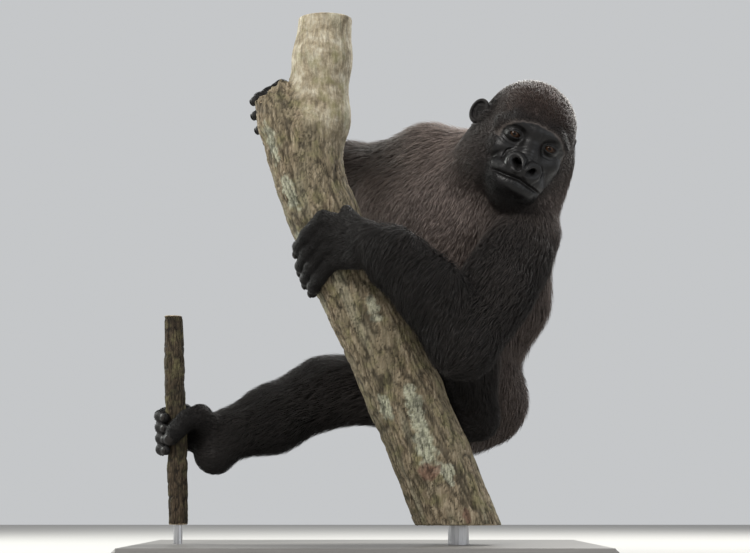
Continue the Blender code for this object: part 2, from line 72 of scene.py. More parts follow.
COAT_BLEND = 0.012          # how gradually one kind of coat passes into the next
TUFTS = 146000
TUFT_SEED = 7
TUFT_SPARSE = 0.034         # at this length tufts stand at their plain density, shorter ones closer
TUFT_SHORTEST = 0.0025      # nothing grows where the hair would be shorter
TUFT_PATCH = 0.003          # each tuft's patch on its coat piece's map
TUFT_MIDDLE = 0.48          # a tuft's two halves, as shares of its length
TUFT_TIP = 0.54
TUFT_ROOT = 0.0012          # how deep its root sits in the skin
TUFT_GAP = 0.0008           # how far it lies off the skin
BARK_GAP = 0.0030           # how far it keeps off the wood
LOCK_TUFTS = 14             # tufts drawn together in one lock
LOCK_REACH = 0.012          # and how far apart their roots may be

WOOD_Y = -0.080             # where the middles of the trunk and its fork lie, front to back
TRUNK = [                   # x, z, radius, from the floor's height up to the broken top
    (0.165, 0.000, 0.0615), (0.099, 0.166, 0.0605), (0.062, 0.254, 0.0600),
    (0.022, 0.345, 0.0575), (-0.030, 0.444, 0.0555), (-0.069, 0.543, 0.0550),
    (-0.102, 0.637, 0.0530), (-0.126, 0.685, 0.0440), (-0.144, 0.728, 0.0340)]
BRANCH = [                  # the live fork
    (-0.088, 0.590, 0.0440), (-0.074, 0.690, 0.0455), (-0.069, 0.784, 0.0430), (-0.064, 0.850, 0.0420)]
TRUNK_LEAN = math.radians(22.0)
STEM = [                    # the thin stem that the right foot holds
    (-0.2905, 0.000, 0.0160), (-0.2935, 0.150, 0.0155), (-0.2980, 0.260, 0.0155), (-0.3030, 0.385, 0.0150)]
STEM_Y = -0.030
STEM_LEAN = 0.02            # radians
SAW_HEIGHT = 0.060          # lower end of both lengths of wood
SAWN_SLOPE = 0.985          # wood that faces up or down at least this much is a saw cut
LICHEN = [                  # height on the trunk, degrees round it, half-length, half-width
    (0.660, 46, 0.030, 0.012), (0.582, 43, 0.028, 0.012), (0.385, -10, 0.022, 0.010),
    (0.242, -7, 0.022, 0.012), (0.208, 0, 0.034, 0.012), (0.175, 4, 0.028, 0.015),
    (0.252, 40, 0.017, 0.011), (0.130, -11, 0.015, 0.010), (0.500, 60, 0.030, 0.010),
    (0.400, 120, 0.034, 0.014), (0.300, 170, 0.036, 0.015), (0.560, 200, 0.030, 0.012),
    (0.160, 150, 0.026, 0.012), (0.640, -110, 0.026, 0.012)]
RUST = [(0.145, 12, 0.012, 0.013), (0.068, -14, 0.012, 0.005)]


def at(x, y, z):
    """A place or a direction in metres."""
    return np.array((x, y, z), dtype=np.float64)


def unit(vector):
    """A vector, or rows of vectors, at length one."""
    return vector / np.maximum(np.linalg.norm(vector, axis=-1, keepdims=True), 1e-9)


# ---------------------------------------------------------------- skeleton
SHOULDER_R, ELBOW_R, WRIST_R = at(0.095, 0.050, 0.647), at(-0.097, 0.225, 0.623), at(-0.116, 0.036, 0.688)
SHOULDER_L, ELBOW_L, WRIST_L = at(0.247, -0.060, 0.508), at(0.144, -0.220, 0.325), at(0.004, -0.182, 0.482)
HIP_R, KNEE_R, ANKLE_R = at(0.145, 0.120, 0.280), at(-0.067, 0.090, 0.272), at(-0.221, 0.000, 0.198)
HIP_L, KNEE_L, ANKLE_L = at(0.196, 0.075, 0.256), at(0.150, -0.045, 0.396), at(0.173, -0.026, 0.224)
HEAD = at(0.243, -0.070, 0.647)
HEAD_ROLL = math.radians(23.0)
HEAD_YAW = math.radians(7.5)
HEAD_PITCH = math.radians(-10.0)
EYE_SIDE, EYE_UP, EYE_DEEP, EYE_RADIUS = 0.030, 0.012, 0.0570, 0.0115
NOSE_PIVOT = (0.0, -0.018)
NOSE_SKEW = -10.0           # degrees that the nose is turned in the face
MOUTH_SKEW = -5.0
EARS = {-1: (0.081, -0.010, 0.60), 1: (0.0765, -0.024, 0.95)}   # how far out, how far back, how flat it lies
CORNEA_REACH, CORNEA_RISE = 0.0062, 0.0011
NAIL_STEPS = 8              # faces along a nail and across it
NAIL_THICK = 0.0008
NAIL_HALF_TURN = math.radians(44)   # how far a nail reaches round its digit, to each side


def head_axes():
    """Rows: towards the animal's left ear, up through the crown, and out of the face."""
    turn = (Matrix.Rotation(-HEAD_PITCH, 3, "X") @ Matrix.Rotation(HEAD_ROLL, 3, "Y")
            @ Matrix.Rotation(HEAD_YAW, 3, "Z"))
    return np.array([turn @ Vector((1, 0, 0)), turn @ Vector((0, 0, 1)), turn @ Vector((0, -1, 0))])


HEAD_AXES = head_axes()


def on_head(left, up, out):
    """A point given in the head's own directions, from the middle between the ears."""
    return HEAD + at(left, up, out) @ HEAD_AXES


def in_head(points):
    """Points in the head's own directions: columns left, up and out."""
    return (points - HEAD) @ HEAD_AXES.T


# ---------------------------------------------------------------- the coat's kinds
class Coat:
    """How the hair of one stretch of the body grows: depth under the tips, length, lift and colour."""

    def __init__(self, depth, length, lift, tint):
        self.depth = depth
        self.length = length
        self.lift = math.radians(lift)
        self.tint = tint


BLACK = (0.0150, 0.0130, 0.0120)
CHARCOAL = (0.0235, 0.0200, 0.0185)
SOOT = (0.0330, 0.0270, 0.0245)
GREY_BROWN = (0.205, 0.166, 0.148)
UMBER = (0.066, 0.052, 0.046)
TAUPE = (0.125, 0.100, 0.089)
# painted highlight: the pale rim of backlight along the upper edge of the bare face
PAINTED_RIM_LIGHT = (0.200, 0.165, 0.145)
CHESTNUT = (0.050, 0.0310, 0.0240)
# painted sheen: the folded thigh's dark coat lightened to stand in for the light that falls on it
PAINTED_SHEEN_DUSK = (0.096, 0.077, 0.069)
BARE = (0.0055, 0.0050, 0.0050)
SKIN_BLACK = (0.0090, 0.0080, 0.0076)
LEATHER = (0.0042, 0.0038, 0.0037)
WHITE = (1.0, 1.0, 1.0)

COATS = {
    "crown": Coat(0.006, 0.017, 20, CHESTNUT),
    "cheek": Coat(0.006, 0.020, 16, SOOT),
    "neck": Coat(0.008, 0.032, 16, GREY_BROWN),
    "shoulder": Coat(0.009, 0.034, 16, GREY_BROWN),
    "chest": Coat(0.008, 0.026, 15, GREY_BROWN),
    "back": Coat(0.009, 0.034, 15, TAUPE),
    "rump": Coat(0.009, 0.030, 17, TAUPE),
    "upper_arm": Coat(0.008, 0.034, 15, CHARCOAL),
    "far_arm": Coat(0.008, 0.034, 15, UMBER),
    "forearm": Coat(0.008, 0.034, 15, BLACK),
    "thigh": Coat(0.008, 0.032, 14, CHARCOAL),
    # the folded thigh's coat colour carries a painted sheen
    "folded_thigh": Coat(0.008, 0.032, 14, PAINTED_SHEEN_DUSK),
    "shank": Coat(0.007, 0.030, 14, BLACK),
    "hand": Coat(0.003, 0.013, 11, BLACK),
    "finger": Coat(0.0005, 0.0048, 6, SKIN_BLACK),
    "fingertip": Coat(0.0005, 0.0, 8, LEATHER),
    "face": Coat(0.0, 0.0, 10, BARE),
}


# ---------------------------------------------------------------- shapes as distance fields
class Form:
    """A shape that is blended into the field, or carved out of it."""

    def __init__(self, coat, blend, carve, flow):
        self.coat = COATS.get(coat)
        self.blend = blend
        self.carve = carve
        self.flow = flow

    def applied_to(self, field, points):
        """The field at the points after this form."""
        distance = self.distance(points)
        if self.carve:
            return -blended(-field, distance, self.blend)
        return blended(field, distance, self.blend)

    def near(self, points, extra=EXACT):
        """Which points lie close enough to be changed by this form."""
        pad = self.blend + extra
        inside = np.all((points > self.low - pad) & (points < self.high + pad), axis=1)
        return np.nonzero(inside)[0]


def to_segment(points, start, end):
    """Each point's nearest place on a segment, as a share of its length, and how far off it that is."""
    along = end - start
    share = np.clip((points - start) @ along / max(along @ along, 1e-12), 0, 1)
    return share, np.linalg.norm(points - start - share[:, None] * along, axis=1)


class Limb(Form):
    """A tapered, round-ended limb."""

    def __init__(self, start, end, wide, narrow, coat=None, blend=0.010, carve=False, flow=None):
        along = end - start
        super().__init__(coat, blend, carve, unit(along) if flow is None else unit(flow))
        depth = self.coat.depth if self.coat else 0.0
        self.start = start
        self.end = end
        self.wide = wide - depth
        self.narrow = narrow - depth
        biggest = max(self.wide, self.narrow)
        self.low = np.minimum(start, end) - biggest
        self.high = np.maximum(start, end) + biggest

    def distance(self, points):
        share, gap = to_segment(points, self.start, self.end)
        return gap - (self.wide + (self.narrow - self.wide) * share)


class Mass(Form):
    """An ellipsoid whose three half-widths lie along the frame's directions."""

    def __init__(self, centre, radii, axes=None, coat=None, blend=0.010, carve=False, flow=(0, 0, -1)):
        super().__init__(coat, blend, carve, unit(np.array(flow, dtype=np.float64)))
        depth = self.coat.depth if self.coat else 0.0
        self.centre = centre
        self.radii = np.array(radii) - depth
        self.axes = np.eye(3) if axes is None else axes
        spread = np.sqrt(((self.axes * self.radii[:, None]) ** 2).sum(axis=0))
        self.low = centre - spread
        self.high = centre + spread

    def distance(self, points):
        local = (points - self.centre) @ self.axes.T / self.radii
        reach = np.linalg.norm(local, axis=1)
        slope = np.linalg.norm(local / self.radii, axis=1)
        return reach * (reach - 1) / np.maximum(slope, 1e-6)


class Crease(Form):
    """A groove along a path drawn on the front of the face."""

    def __init__(self, path, width, depth):
        super().__init__(None, 0.0, False, at(0, 0, 1))
        self.path = np.array(path)[:, :2]
        self.width = width
        self.depth = depth
        reach = 3 * width
        box = (np.append(self.path.min(axis=0) - reach, FACE_OUT[0]),
               np.append(self.path.max(axis=0) + reach, FACE_OUT[1]))
        corners = [on_head(*[box[side][axis] for axis, side in enumerate(sides)])
                   for sides in np.ndindex(2, 2, 2)]
        self.low = np.min(corners, axis=0)
        self.high = np.max(corners, axis=0)

    def applied_to(self, field, points):
        local = in_head(points)
        gap = np.full(len(points), 1.0)
        place = np.zeros(len(points))
        for number, (start, end) in enumerate(zip(self.path, self.path[1:])):
            share, away = to_segment(local[:, :2], start, end)
            place = np.where(away < gap, number + share, place)
            gap = np.minimum(gap, away)
        ends = place / (len(self.path) - 1)
        strength = smoothstep(0, 0.22, ends) * smoothstep(1, 0.78, ends) * 0.85 + 0.15
        strength *= smoothstep(FACE_OUT[0], FACE_OUT[0] + 0.006, local[:, 2])
        strength *= smoothstep(-0.012, -0.004, field) * (local[:, 2] < FACE_OUT[1])
        return field + self.depth * np.exp(-(gap / self.width) ** 2) * strength


class Cut(Form):
    """A saw cut or a break: everything beyond a plane is taken away."""

    def __init__(self, place, outward, rough=0.0, seed=0):
        super().__init__(None, 0.0015, True, at(0, 0, 1))
        self.place = place
        self.outward = unit(outward)
        self.rough = rough
        self.seed = seed
        self.low = place - 0.20
        self.high = place + 0.20

    def distance(self, points):
        beyond = (points - self.place) @ self.outward
        if self.rough:
            flat = points - beyond[:, None] * self.outward * 0.93
            splinters = layered(flat, 0.016, self.seed) + 0.5 * noise(flat, 0.0045, self.seed + 5)
            beyond = beyond + self.rough * splinters
        return -beyond


def blended(first, second, width):
    """The smaller of two distances, with a fillet of that width between them."""
    share = np.clip(0.5 + 0.5 * (second - first) / width, 0, 1)
    return second + (first - second) * share - width * share * (1 - share)


def field_at(forms, points, extra=EXACT):
    """The blended distance from any points to the shape that the forms make."""
    field = np.full(len(points), REACH)
    for form in forms:
        near = form.near(points, extra)
        if len(near):
            field[near] = form.applied_to(field[near], points[near])
    return field


def slope_at(forms, points, extra=EXACT):
    """The field and its unit gradient at points, from four samples around each."""
    corners = np.array([(1, -1, -1), (-1, -1, 1), (-1, 1, -1), (1, 1, 1)], dtype=np.float64)
    total = np.zeros_like(points)
    mean = np.zeros(len(points))
    for corner in corners:
        value = field_at(forms, points + corner * SLOPE_STEP, extra)
        total += corner * value[:, None]
        mean += value / 4
    return mean, unit(total)


def field_on_grid(forms, low, high, step):
    """The field on a regular grid, worked out only near each form."""
    counts = np.ceil((high - low) / step).astype(int) + 1
    lines = [low[axis] + np.arange(counts[axis]) * step for axis in range(3)]
    field = np.full(counts, REACH, dtype=np.float32)
    for form in forms:
        pad = form.blend + 2 * step
        first = np.clip(((form.low - pad - low) / step).astype(int), 0, counts - 1)
        last = np.clip(((form.high + pad - low) / step).astype(int) + 2, 1, counts)
        parts = tuple(slice(a, b) for a, b in zip(first, last))
        mesh = np.meshgrid(*[line[part] for line, part in zip(lines, parts)], indexing="ij")
        points = np.stack(mesh, axis=-1).reshape(-1, 3)
        block = field[parts]
        field[parts] = form.applied_to(block.ravel(), points).reshape(block.shape)
    return field, lines


def surface_of(field, lines):
    """Surface nets: one vertex in each cell that the surface crosses, one face at each crossed edge."""
    inside = field < 0
    count = np.zeros(np.array(field.shape) - 1, dtype=np.int8)
    corners = list(np.ndindex(2, 2, 2))
    for corner in corners:
        count += inside[tuple(slice(i, size - 1 + i) for i, size in zip(corner, field.shape))]
    cells = np.argwhere((count > 0) & (count < 8))
    number = np.full(count.shape, -1, dtype=np.int64)
    number[tuple(cells.T)] = np.arange(len(cells))
    values = {corner: field[tuple((cells + corner).T)].astype(np.float64) for corner in corners}
    total = np.zeros((len(cells), 3))
    crossings = np.zeros(len(cells))
    for corner in corners:
        for axis in range(3):
            if corner[axis]:
                continue
            other = tuple(1 if index == axis else corner[index] for index in range(3))
            start, end = values[corner], values[other]
            crossed = (start < 0) != (end < 0)
            share = np.where(crossed, start / np.where(crossed, start - end, 1), 0)
            place = np.tile(np.array(corner, dtype=np.float64), (len(cells), 1))
            place[:, axis] += share
            total += place * crossed[:, None]
            crossings += crossed
    local = cells + total / crossings[:, None]
    points = np.stack([line[0] + along * (line[1] - line[0]) for line, along in zip(lines, local.T)], axis=1)
    return points, np.concatenate([faces_across(axis, inside, number) for axis in range(3)])


def faces_across(axis, inside, number):
    """The faces at the crossed edges along one axis, each round the four cells that share its edge."""
    ahead = tuple(slice(1, None) if index == axis else slice(None) for index in range(3))
    behind = tuple(slice(None, -1) if index == axis else slice(None) for index in range(3))
    starts = np.argwhere(inside[ahead] != inside[behind])
    u, v = [index for index in range(3) if index != axis]
    starts = starts[(starts[:, u] > 0) & (starts[:, v] > 0)]
    starts = starts[(starts[:, u] < number.shape[u]) & (starts[:, v] < number.shape[v])]
    around = []
    for du, dv in ((0, 0), (1, 0), (1, 1), (0, 1)):
        cell = starts.copy()
        cell[:, u] -= du
        cell[:, v] -= dv
        around.append(number[tuple(cell.T)])
    quad = np.stack(around, axis=1)
    flip = inside[tuple(starts.T)] == (axis == 1)
    quad[flip] = quad[flip][:, ::-1]
    return quad


def net_of(forms, step, margin):
    """Points and faces of the surface that the forms make, read on an even grid."""
    shapes = [form for form in forms if not isinstance(form, Cut)]
    low = np.min([form.low for form in shapes], axis=0) - margin
    high = np.max([form.high for form in shapes], axis=0) + margin
    return surface_of(*field_on_grid(forms, low, high, step))


# ---------------------------------------------------------------- repeatable noise
def lattice(cells, seed):
    """A repeatable number from -1 to 1 for each row of whole numbers."""
    mixed = cells[:, 0] * 73856093 ^ cells[:, 1] * 19349663 ^ cells[:, 2] * 83492791 ^ (seed * 2654435 + 97)
    mixed = ((mixed ^ (mixed >> 13)) * 1274126177) & 0xFFFFFFFF
    mixed = ((mixed ^ (mixed >> 15)) * 2246822519) & 0xFFFFFFFF
    return (mixed & 0xFFFFFF) / 0x7FFFFF - 1.0


def noise(points, size, seed):
    """Smooth noise from -1 to 1 whose features are about that size."""
    scaled = points / size
    cell = np.floor(scaled).astype(np.int64)
    part = scaled - cell
    ease = part * part * (3 - 2 * part)
    total = np.zeros(len(points))
    for corner in np.ndindex(2, 2, 2):
        i, j, k = [ease[:, axis] if side else 1 - ease[:, axis] for axis, side in enumerate(corner)]
        total += i * j * k * lattice(cell + corner, seed)
    return total


def layered(points, size, seed):
    """Noise with two layers of finer noise on top."""
    return sum(noise(points, size / 2 ** n, seed + n) / 2 ** n for n in range(3))


def smoothstep(low, high, value):
    """0 below low, 1 above high, and an eased ramp between."""
    share = np.clip((value - low) / (high - low), 0, 1)
    return share * share * (3 - 2 * share)


# ---------------------------------------------------------------- places on and around the wood
def trunk_axis(height):
    """The middle of the trunk at a height, and its radius there."""
    for (x0, z0, r0), (x1, z1, r1) in zip(TRUNK, TRUNK[1:]):
        if height <= z1:
            break
    share = (height - z0) / (z1 - z0)
    return at(x0 + (x1 - x0) * share, WOOD_Y, height), r0 + (r1 - r0) * share


def by_trunk(height, degrees, clear):
    """A point that far off the bark; 0 degrees is the front, 90 the left, -90 the right."""
    centre, radius = trunk_axis(height)
    turn = math.radians(degrees)
    left = at(-math.cos(TRUNK_LEAN), 0, -math.sin(TRUNK_LEAN))
    return centre + (left * math.sin(turn) + at(0, -1, 0) * math.cos(turn)) * (radius + clear)


def by_stem(height, degrees, clear):
    """The same for the thin stem."""
    centre = at(STEM[2][0] + (STEM[1][0] - STEM[2][0]) * (0.26 - height) / 0.11, STEM_Y, height)
    turn = math.radians(degrees)
    return centre + at(-math.sin(turn), -math.cos(turn), 0) * (STEM[2][2] + clear)


def chain(points, radii, coat=None, blend=0.006, flow=None):
    """The tapered limbs that join a row of points."""
    rows = zip(points, points[1:], radii, radii[1:])
    return [Limb(start, end, wide, narrow, coat, blend, flow=flow) for start, end, wide, narrow in rows]


JOINT_SWELL = 1.09          # a joint's thickness, as a share of the digit's there
NAILS = []                  # tip, direction of the digit, outward direction, half-width


def digit(place, start, turn, drop, lengths, thickness):
    """A finger or toe that bends round the wood from knuckle to tip, with its joints and its nail.

    Start is the knuckle's height and angle. For each metre of its length the digit turns by so many
    degrees round the wood and drops by so many metres.
    """
    height, angle = start
    points = [place(height, angle, thickness[0])]
    for length, thick in zip(lengths, thickness[1:]):
        height -= drop * length
        angle += turn * length
        points.append(place(height, angle, thick))
    forms = chain(points[:3], thickness[:3], "finger", 0.0030)
    forms += chain(points[2:], thickness[2:], "fingertip", 0.0030)
    for joint, thick, kind in zip(points[1:-1], thickness[1:-1], ("finger", "fingertip")):
        forms.append(Mass(joint, (thick * JOINT_SWELL,) * 3, coat=kind, blend=0.004))
    outward = unit(points[-1] - place(height, angle, -0.010))
    NAILS.append((points[-1], unit(points[-1] - points[-2]), outward, thickness[-1]))
    return forms, points[0]


def digits(place, rows, turn, drop, thickness, roots, palm_radii, blend):
    """A row of fingers or toes, after the limbs that join their knuckles to the palm or the sole."""
    palm = []
    row = []
    for (start, lengths), root in zip(rows, roots):
        forms, knuckle = digit(place, start, turn, drop, lengths, thickness)
        row += forms
        palm.append(Limb(root, knuckle, *palm_radii, "hand", blend))
    return palm + row


# ---------------------------------------------------------------- the body
def trunk_forms():
    """Chest, belly, pelvis, shoulders and neck."""
    tilt = math.radians(16)
    chest_axes = np.array([(math.cos(tilt), 0, -math.sin(tilt)), (0, 1, 0),
                           (math.sin(tilt), 0, math.cos(tilt))])
    masses = [
        Mass(at(0.172, 0.036, 0.545), (0.134, 0.112, 0.120), chest_axes, "chest", 0.03,
             flow=(-0.35, 0.1, -1)),
        Mass(at(0.181, 0.062, 0.420), (0.114, 0.112, 0.108), None, "back", 0.04, flow=(-0.15, 0, -1)),
        Mass(at(0.166, 0.080, 0.330), (0.082, 0.086, 0.085), None, "rump", 0.04, flow=(0, 0, -1)),
        Mass(at(0.148, 0.080, 0.252), (0.088, 0.088, 0.084), None, "rump", 0.04, flow=(0.15, 0, -1))]
    limbs = [               # ends, radii at the ends, coat, blend, lie of the hair
        (HIP_L, HIP_L + at(-0.012, 0.012, 0.008), 0.060, 0.058, "rump", 0.03, (0.25, 0, -1)),
        (at(0.044, 0.075, 0.582), at(0.120, 0.040, 0.540), 0.066, 0.090, "chest", 0.03, (-0.6, 0, -0.8)),
        (at(0.236, 0.035, 0.492), at(0.212, 0.055, 0.440), 0.062, 0.084, "back", 0.03, (-0.1, 0, -1)),
        (SHOULDER_R + at(0.020, 0, -0.008), at(0.205, 0.020, 0.615), 0.066, 0.070, "shoulder", 0.03,
         (-1, 0.25, -0.25)),
        (at(0.205, 0.025, 0.600), HEAD + at(-0.004, 0.035, -0.020), 0.080, 0.070, "neck", 0.03,
         (-0.5, 0.1, -0.9)),
        (on_head(-0.050, -0.038, -0.014), at(0.165, 0.002, 0.585), 0.036, 0.062, "neck", 0.035,
         (-0.55, 0, -0.9)),
        (SHOULDER_L + at(-0.030, 0.040, 0.020), at(0.215, 0, 0.565), 0.060, 0.070, "shoulder", 0.03,
         (0.25, -0.2, -1)),
        (SHOULDER_L + at(-0.002, 0.015, 0.022), on_head(0.058, 0.000, -0.024), 0.052, 0.040, "neck", 0.03,
         (0.15, 0, -1)),
        (at(0.200, 0.080, 0.540), at(0.190, 0.100, 0.420), 0.070, 0.066, "back", 0.04, (0, 0, -1))]
    return masses + [Limb(*row, flow=at(*flow)) for *row, flow in limbs]


def arm_left_forms():
    """The arm that passes in front of the trunk, down to the wrist."""
    upper = [SHOULDER_L, at(0.193, -0.150, 0.413), ELBOW_L]
    lower = [ELBOW_L, at(0.095, -0.215, 0.406), at(0.045, -0.200, 0.456), WRIST_L]
    forms = chain(upper, [0.058, 0.056, 0.049], "upper_arm", 0.02)
    forms.append(Limb(at(0.232, -0.095, 0.462), at(0.176, -0.178, 0.362), 0.055, 0.047, "upper_arm", 0.02))
    return forms + chain(lower, [0.051, 0.052, 0.048, 0.036], "forearm", 0.02, at(-0.55, -0.1, -0.85))


def hand_left_forms():
    """Fingers that wrap the trunk's left edge and droop, and the thumb above them."""
    root = WRIST_L + at(-0.016, 0.010, 0.0)
    rows = (((0.525, 3), (0.038, 0.027, 0.018)), ((0.504, 9), (0.044, 0.031, 0.020)),
            ((0.483, 12), (0.042, 0.029, 0.019)), ((0.462, 13), (0.034, 0.022, 0.017)))
    roots = [root + at(0.004, 0, 0.018 - 0.012 * number) for number in range(4)]
    fingers = digits(by_trunk, rows, 787, 0.35, thickness=(0.0116, 0.0104, 0.0097, 0.0082), roots=roots,
                     palm_radii=(0.021, 0.0136), blend=0.007)
    thumb = [at(-0.014, -0.172, 0.497), at(-0.021, -0.161, 0.516), at(-0.029, -0.153, 0.532)]
    NAILS.append((thumb[2], unit(thumb[2] - thumb[1]), at(0, -1, 0.2), 0.0100))
    return fingers + thumb_forms(thumb)


def thumb_forms(points):
    """A thumb: a haired root and a bare tip."""
    return [Limb(points[0], points[1], 0.0160, 0.0125, "finger", 0.006),
            Limb(points[1], points[2], 0.0125, 0.0100, "fingertip", 0.006)]


def arm_right_forms():
    """The arm that passes behind the trunk, down to the wrist."""
    upper = [SHOULDER_R, at(0.030, 0.110, 0.633), at(-0.034, 0.168, 0.642), ELBOW_R]
    lower = [ELBOW_R, at(-0.112, 0.135, 0.655), WRIST_R]
    forms = chain(upper, [0.060, 0.051, 0.056, 0.046], "far_arm", 0.02)
    return forms + chain(lower, [0.048, 0.045, 0.034], "forearm", 0.02)


def hand_right_forms():
    """Fingers that reach round the far edge of the broken top."""
    root = WRIST_R + at(-0.004, -0.012, 0.004)
    rows = (((0.742, 205), (0.032, 0.022, 0.016)), ((0.722, 205), (0.036, 0.025, 0.017)),
            ((0.701, 205), (0.035, 0.024, 0.017)), ((0.681, 205), (0.029, 0.020, 0.015)))
    roots = [root + at(0, 0, 0.014 - 0.010 * number) for number in range(4)]
    fingers = digits(by_trunk, rows, -1060, 0.10, thickness=(0.0112, 0.0102, 0.0095, 0.0082), roots=roots,
                     palm_radii=(0.020, 0.0130), blend=0.007)
    thumb = [WRIST_R + at(0.004, -0.018, 0.0), at(-0.092, -0.012, 0.700), at(-0.076, -0.020, 0.716)]
    return fingers + thumb_forms(thumb)


def leg_right_forms():
    """The leg that reaches across to the thin stem, down to the ankle."""
    thigh = [HIP_R, at(0.038, 0.110, 0.282), KNEE_R]
    shank = [KNEE_R, at(-0.151, 0.045, 0.226), ANKLE_R]
    forms = chain(thigh, [0.076, 0.064, 0.057], "thigh", 0.02)
    return forms + chain(shank, [0.057, 0.054, 0.041], "shank", 0.02)


def foot_right_forms():
    """Four toes behind and round the stem, and the great toe across its front."""
    heel = at(-0.237, -0.012, 0.170)
    tarsus = at(-0.245, -0.004, 0.196)
    sole = [Limb(ANKLE_R, heel, 0.040, 0.031, "hand", 0.012), Limb(heel, tarsus, 0.030, 0.030, "hand", 0.012)]
    rows = [((height, 208), (0.034, 0.022, 0.016)) for height in (0.237, 0.220, 0.203, 0.186)]
    toes = digits(by_stem, rows, -2300, 0.17, thickness=(0.0100, 0.0092, 0.0086, 0.0075),
                  roots=[tarsus] * 4, palm_radii=(0.025, 0.0120), blend=0.010)
    hallux = [at(-0.240, -0.020, 0.206), at(-0.258, -0.046, 0.228), by_stem(0.221, -38, 0.0150),
              by_stem(0.206, -6, 0.0130), by_stem(0.192, 14, 0.0110)]
    NAILS.append((hallux[-1], unit(hallux[-1] - hallux[-2]), at(-0.2, -1, 0), 0.0112))
    return (sole + toes + chain(hallux[:3], [0.0240, 0.0175, 0.0150], "hand", 0.008)
            + chain(hallux[2:4], [0.0150, 0.0130], "finger", 0.008)
            + chain(hallux[3:], [0.0130, 0.0110], "fingertip", 0.008))


def leg_left_forms():
    """The folded leg, down to the ankle."""
    shank = [KNEE_L, at(0.159, -0.040, 0.312), ANKLE_L]
    thigh = chain([HIP_L, KNEE_L], [0.062, 0.052], "folded_thigh", 0.02, at(0.15, -0.3, -1))
    return thigh + chain(shank, [0.052, 0.046, 0.036], "shank", 0.02)


def foot_left_forms():
    """The foot whose sole presses on the far side of the trunk, toes up."""
    heel = by_trunk(0.190, -126, 0.026)
    rows = (((0.266, -107), (0.022, 0.014)), ((0.273, -120), (0.025, 0.016)),
            ((0.279, -133), (0.027, 0.017)), ((0.283, -146), (0.028, 0.018)))
    toes = digits(by_trunk, rows, 130, -0.80, thickness=(0.0105, 0.0092, 0.0078), roots=[heel] * 4,
                  palm_radii=(0.024, 0.0120), blend=0.010)
    hallux = [by_trunk(0.205, -146, 0.022), by_trunk(0.235, -172, 0.016),
              by_trunk(0.243, -200, 0.0135), by_trunk(0.247, -222, 0.0110)]
    return ([Limb(ANKLE_L, heel, 0.034, 0.026, "hand", 0.012)] + toes
            + chain(hallux, [0.0220, 0.0165, 0.0140, 0.0112], "finger", 0.008))


# ---------------------------------------------------------------- the head
def head_limb(start, end, wide, narrow, blend, carve=False):
    """A bare limb, or a carved groove, between two points of the head's own frame."""
    return Limb(on_head(*start), on_head(*end), wide, narrow, "face", blend, carve)


def head_mass(centre, radii, coat="face", blend=0.008, carve=False, flow=(0, -1, 0)):
    """An ellipsoid in the head's own frame; the lie of its hair is given there too."""
    return Mass(on_head(*centre), radii, HEAD_AXES, coat, blend, carve, at(*flow) @ HEAD_AXES)


def head_path(points, radius, blend, carve=False):
    """The same along a row of points."""
    return [head_limb(start, end, radius, radius, blend, carve) for start, end in zip(points, points[1:])]


def turns(first, last, count):
    """Evenly spread angles between two given in degrees."""
    return np.radians(np.linspace(first, last, count))


def arc(centre, across, up, degrees, count=9):
    """Points on an arc of an ellipse, in the plane of the head's left and up."""
    return [(centre[0] + across * math.cos(turn), centre[1] + up * math.sin(turn))
            for turn in turns(*degrees, count)]


def skewed(point, pivot, degrees):
    """A point of the face turned about a pivot."""
    turn = math.radians(degrees)
    left, up = point[0] - pivot[0], point[1] - pivot[1]
    moved = (pivot[0] + left * math.cos(turn) - up * math.sin(turn),
             pivot[1] + left * math.sin(turn) + up * math.cos(turn))
    return (*moved, *point[2:])


def on_nose(left, up, out=0.0):
    """A point of the nose, which sits askew in this animal's face."""
    return skewed((left, up, out), NOSE_PIVOT, NOSE_SKEW)


def on_mouth(left, up, out=0.0):
    """A point of the mouth, which sits a little less askew."""
    return skewed((left, up, out), NOSE_PIVOT, MOUTH_SKEW)


def skull_forms():
    """The rounded crown, the cheeks and the coat of the throat."""
    forms = [
        head_mass((0.002, 0.032, -0.014), (0.078, 0.077, 0.088), "crown", 0.012, flow=(0, 0.35, -0.9)),
        head_mass((0, 0.006, 0.026), (0.056, 0.060, 0.046), "face", 0.016),
        head_mass((0, -0.048, 0.052), (0.045, 0.039, 0.043), "face", 0.018),
        head_mass((0, -0.078, 0.040), (0.035, 0.026, 0.034), "cheek", 0.018, flow=(0, -1, -0.3))]
    for side in (-1, 1):
        forms += [
            head_mass((side * 0.046, -0.036, 0.004), (0.034, 0.046, 0.040), "cheek", 0.030,
                      flow=(side * 0.5, -1, -0.6)),
            head_mass((side * 0.060, -0.010, -0.022), (0.022, 0.040, 0.030), "cheek", 0.030,
                      flow=(side * 0.35, -0.9, -0.6)),
            head_mass((side * 0.036, -0.012, 0.048), (0.019, 0.015, 0.015), "face", 0.014)]
    return forms


def brow_forms():
    """The bar of the brow, the sockets under it, and the frown lines between."""
    forms = []
    for side in (-1, 1):
        bend = (side * 0.031, 0.0300, 0.0590)
        frown = [(side * 0.006, 0.012), (side * 0.009, 0.022), (side * 0.008, 0.030)]
        forms += [head_limb((side * 0.051, 0.019, 0.042), bend, 0.0105, 0.0125, 0.008),
                  head_limb(bend, (0, 0.0285, 0.0670), 0.0125, 0.0105, 0.008),
                  head_mass((side * 0.0305, 0.0095, 0.0740), (0.0180, 0.0120, 0.0130), "face", 0.009, True),
                  Crease(frown, 0.0012, 0.0009)]
    forms.append(Crease([(-0.012, 0.0120), (0, 0.0100), (0.012, 0.0120)], 0.0011, 0.0011))
    forms.append(Crease([(-0.010, 0.0050), (0, 0.0030), (0.010, 0.0050)], 0.0010, 0.0008))
    return forms


